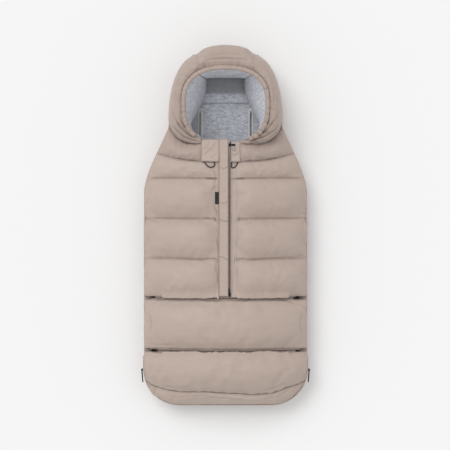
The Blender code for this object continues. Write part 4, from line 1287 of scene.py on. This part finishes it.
def backRows():
    form = formValues
    quarter = math.pi / 2
    footY, shoulderY, headY = form["footEndY"], form["shoulderY"], form["headCurveY"]
    cornerY = footY + form["footCorner"]
    count = backValues["footRows"]
    rows = [footY + form["footCorner"] * (1 - math.cos(quarter * step / count)) for step in range(count)]
    for startY, endY, key in ((cornerY, shoulderY, "sideRows"), (shoulderY, headY, "shoulderRows")):
        count = backValues[key]
        rows += [startY + (endY - startY) * step / count for step in range(count)]
    count = backValues["headRows"]
    for step in range(count + 1):
        share = math.sin(quarter * step / count) ** (2 / form["headPower"])
        rows.append(headY + (form["headEndY"] - headY) * share)
    return rows


def backPoint(across, y, depth, outline):
    form = formValues
    point = Vector((math.sin(across * math.pi / 2) * halfWidthAt(y), y, 0))
    foot, number, distance = outline.find(point)
    inward = point - foot
    if inward.length <= 0.0005:
        inward = Vector((0, min(0.3, max(-0.4, y)), 0)) - point
    wallRound = backValues["wallRound"]
    near = 1 - min(1, distance / wallRound)
    point = point + inward.normalized() * depth * near
    distance += depth * near
    wall = clamp(1 - (distance - depth) / (wallRound - depth))
    point.z = depth + (form["seamHeight"] - depth) * (1 - math.sqrt(1 - wall ** 2))
    return point


def outlineTree():
    form = formValues
    points = []
    count = backValues["outlineSteps"]
    for step in range(count + 1):
        y = form["footEndY"] + (form["headEndY"] - form["footEndY"]) * step / count
        points += [Vector((side * halfWidthAt(y), y, 0)) for side in (-1, 1)]
    count = backValues["endSteps"]
    for endY in (form["footEndY"], form["headEndY"]):
        half = halfWidthAt(endY)
        points += [Vector((-half + 2 * half * step / count, endY, 0)) for step in range(count + 1)]
    return pointTree(points)


def drapeLining(point):
    # The hood's lining ends in a soft lip that lies over the back's own lining
    drape = drapeValues
    past = point.y - drape["lipY"]
    share = clamp(past / drape["lipRise"])
    fade = clamp((drape["lipHalf"] - abs(point.x)) / drape["fade"])
    fade *= clamp((drape["lipEndY"] - point.y) / drape["fade"])
    roll = drape["roll"] * bell(past - drape["rollReach"], drape["rollReach"])
    point.z += fade * (drape["lipLift"] * share * (3 - 2 * share) * share + roll)
    wrinkle = drape["wrinkle"] * noise.noise(Vector((point.x / 0.05, point.y / 0.018, 2.0)))
    point.z += wrinkle * clamp((drape["wrinkleHalf"] - abs(point.x)) / drape["wrinkleFade"])


def cutSlots(piece):
    for x, y, wide, long in slotValues:
        deselectAll()
        bpy.ops.mesh.primitive_cube_add(size=1, location=(x, y, 0.02))
        cutter = bpy.context.object
        cutter.scale = (wide, long, 0.08)
        step = piece.modifiers.new("slot", "BOOLEAN")
        step.solver = "EXACT"
        step.object = cutter
        applyAll(piece)
        bpy.data.objects.remove(cutter)


def makeBackLayer(name, startDepth, thickness, material, nodes, outline, shape=None):
    rows = backRows()
    last = len(rows) - 1
    deselectAll()
    bpy.ops.mesh.primitive_grid_add(x_subdivisions=backValues["columns"], y_subdivisions=last, size=2)
    piece = bpy.context.object
    piece.name = name
    openMesh()
    bpy.ops.mesh.extrude_region_move(TRANSFORM_OT_translate={"value": (0, 0, 1)})
    closeMesh()
    for corner in piece.data.vertices:
        row = round((corner.co.y + 1) / 2 * last)
        upper = corner.co.z > 0.5
        corner.co = backPoint(corner.co.x, rows[row], startDepth + thickness * upper, outline)
        if shape and upper:
            shape(corner.co)
    openMesh()
    bpy.ops.mesh.normals_make_consistent(inside=False)
    closeMesh()
    piece.data.materials.append(materials[material])
    cutSlots(piece)
    samples = [(Vector((side * halfWidthAt(y), y, formValues["seamHeight"])), y) for y in rows for side in (-1, 1)]
    storeSeams(piece, SeamMap(samples).measure(piece))
    smoothShade(piece)
    handOver(piece, nodes, "footmuff_back")


def makeBack():
    outline = outlineTree()
    values = backValues
    padNodes = ("back_shell", "back_wadding")
    makeBackLayer("backPad", 0.0, values["padThickness"], "shell", padNodes, outline)
    makeBackLayer(
        "backLining", values["liningStart"], values["liningThickness"], "backJersey",
        ("back_lining",), outline, drapeLining,
    )


makeBack()
print("back made")


# Teeth that mesh in the middle of each zip
teethValues = {
    "pitch": 0.0024,
    "width": 0.0013,
    "tip": 0.0006,
    "root": 0.0020,
    "height": 0.0012,
    "chainTop": 0.0024,
    "taper": 0.7,
    "mainX": 0.0118,
    "mainSpan": (-0.187, 0.222),
    "mainGap": 0.0008,
    "freeX": 0.2022,
    "rootX": 0.2150,
}
toothFaces = ((0, 1, 3, 2), (4, 6, 7, 5), (0, 4, 5, 1), (2, 3, 7, 6), (0, 2, 6, 4), (1, 5, 7, 3))


def addTeeth(node, body, places, side):
    # places gives points on the chain's middle line, with the line's direction and up
    teeth = teethValues
    piece = plainCopy(node, camelName(node), "coil")
    shape = bmesh.new()
    shape.from_mesh(piece.data)
    for place, along, up in places:
        across = along.cross(up).normalized() * side
        corners = []
        for rise in (-teeth["height"], -0.0001):
            for reach, taper in ((teeth["root"], 1.0), (teeth["tip"], teeth["taper"])):
                for end in (-1, 1):
                    tip = place + up * rise + across * reach
                    corners.append(shape.verts.new(tip + along * (end * taper * teeth["width"] / 2)))
        for face in toothFaces:
            shape.faces.new([corners[number] for number in face])
    bmesh.ops.recalc_face_normals(shape, faces=shape.faces)
    shape.to_mesh(piece.data)
    shape.free()
    smoothShade(piece, 35)
    handOver(piece, [node], body)


def mainPlaces(offset):
    teeth = teethValues
    lowY, highY = teeth["mainSpan"]
    top = groundHeight(teeth["mainX"], formValues["shoulderY"]) + teeth["chainTop"]
    places = []
    for step in range(1, int((highY - lowY) / teeth["pitch"] - offset)):
        place = Vector((teeth["mainX"], lowY + (step + offset) * teeth["pitch"], top))
        places.append((place, Vector((0, 1, 0)), Vector((0, 0, 1))))
    return places


def acrossPlaces(y, startX, endX, offset):
    teeth = teethValues
    places = []
    for step in range(1, int((endX - startX) / teeth["pitch"] - offset)):
        x = startX + (step + offset) * teeth["pitch"]
        slope = (groundHeight(x + 0.001, y) - groundHeight(x - 0.001, y)) / 0.002
        along = Vector((1, 0, slope)).normalized()
        up = Vector((-slope, 0, 1)).normalized()
        places.append((Vector((x, y, groundHeight(x, y))) + up * teeth["chainTop"], along, up))
    return places


def makeTeeth():
    freeX, rootX = teethValues["freeX"], teethValues["rootX"]
    middleX, gap = teethValues["mainX"], teethValues["mainGap"]
    waistY, shinY = formValues["waistY"], formValues["shinY"]
    addTeeth("main_zip_left", "left_flap", mainPlaces(0.0), -1)
    addTeeth("main_zip_right", "right_flap", mainPlaces(0.5), 1)
    for node, body, span, side in (
        ("waist_zip_lower", "footmuff_back", (waistY, -rootX, freeX, 0.0), 1),
        ("waist_zip_upper_left", "left_flap", (waistY, -freeX, middleX - gap, 0.5), -1),
        ("waist_zip_upper_right", "right_flap", (waistY, middleX + gap, freeX, 0.5), -1),
        ("shin_zip_upper", "footmuff_back", (shinY, -freeX, rootX, 0.0), -1),
        ("shin_zip_lower", "foot_flap", (shinY, -freeX, freeX, 0.5), 1),
    ):
        addTeeth(node, body, acrossPlaces(*span), side)


makeTeeth()
print("zip teeth made")


# Soft rubber pulls and the piping round the harness slots
roundValues = {"levels": 2, "sharpness": 0.6, "pullSwell": 0.0009, "pipingSwell": 0.0010}


def makeRounded(node, name, body, material, swell):
    piece = copyNode(node, name, material)
    seamSamples(piece, 50, None)
    for edge in piece.data.attributes["crease_edge"].data:
        edge.value *= roundValues["sharpness"]
    subdivide(piece, roundValues["levels"])
    normals = [corner.normal.copy() for corner in piece.data.vertices]
    for corner, normal in zip(piece.data.vertices, normals):
        corner.co += normal * swell
    smoothShade(piece)
    handOver(piece, [node], body)


def makeRoundPieces():
    for side in ("right", "left"):
        name = "foot" + side.capitalize() + "Pull"
        body = "foot_" + side + "_pull"
        makeRounded("foot_" + side + "_zip_pull", name, body, "pull", roundValues["pullSwell"])
    pipings = [("crotch_slot_binding", "crotchPiping")]
    for place in ("waist", "shoulder"):
        for side in ("right", "left"):
            pipings.insert(0, (place + "_slot_binding_" + side, place + "Piping" + side.capitalize()))
    for node, name in pipings:
        makeRounded(node, name, "footmuff_back", "binding", roundValues["pipingSwell"])


makeRoundPieces()
print("pulls and piping made")


finishes = {
    "metal": (
        "main_zip_slider", "waist_zip_slider", "shin_zip_slider",
        "main_zip_top_stop", "main_zip_retainer_box", "main_zip_insertion_pin",
    ),
    "pull": (
        "main_zip_pull", "waist_zip_pull", "shin_zip_pull",
        "foot_right_zip_slider", "foot_left_zip_slider",
    ),
    "tape": ("foot_zip_lower", "foot_zip_upper"),
    "tag": ("placket_tag",),
    "snap": ("throat_snap",),
    "cord": ("hood_drawcord",),
}
bevelValues = {"width": 0.0003, "segments": 2, "angle": 40}


def finishNodes():
    for finish, names in finishes.items():
        for name in names:
            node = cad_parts[name]
            node.data.materials.clear()
            node.data.materials.append(materials[finish])
            if finish in ("metal", "pull", "snap", "tag"):
                step = node.modifiers.new("softEdge", "BEVEL")
                step.width = bevelValues["width"]
                step.segments = bevelValues["segments"]
                step.limit_method = "ANGLE"
                step.angle_limit = math.radians(bevelValues["angle"])


finishNodes()
for loop in loops:
    loop.data.materials.append(materials["cord"])
print("zips and fittings finished")

# Studio: pale floor and soft light from the upper left
studioValues = {
    "floorSize": 12.0,
    "floorTone": 0.86,
    "keyFrom": (-0.55, 0.75, 1.15),
    "keyStrength": 1.1,
    "keySpread": 38,
    "worldStrength": 0.802,
}


def makeKeySun():
    values = studioValues
    lamp = bpy.data.objects.new("keySun", bpy.data.lights.new("keySun", "SUN"))
    scene.collection.objects.link(lamp)
    lamp.data.angle = math.radians(values["keySpread"])
    lamp.data.energy = values["keyStrength"]
    lamp.location = Vector(values["keyFrom"]) * 3
    lamp.rotation_mode = "QUATERNION"
    lamp.rotation_quaternion = (-Vector(values["keyFrom"])).to_track_quat("-Z", "Y")


def makeStudio():
    deselectAll()
    bpy.ops.mesh.primitive_plane_add(size=studioValues["floorSize"], location=(0, 0, 0))
    floor = bpy.context.object
    floor.name = "studioFloor"
    material, tree, shader = newMaterial("paleFloor")
    tone = studioValues["floorTone"]
    feed(tree, shader, {"Base Color": (tone, tone, tone, 1), "Roughness": 1.0, "Specular IOR Level": 0.0})
    floor.data.materials.append(material)
    makeKeySun()
    world = bpy.data.worlds.new("studioWorld")
    scene.world = world
    world.use_nodes = True
    background = world.node_tree.nodes["Background"]
    feed(world.node_tree, background, {"Color": (1, 1, 1, 1), "Strength": studioValues["worldStrength"]})
    scene.view_settings.view_transform = "Standard"


makeStudio()
print("studio lit")
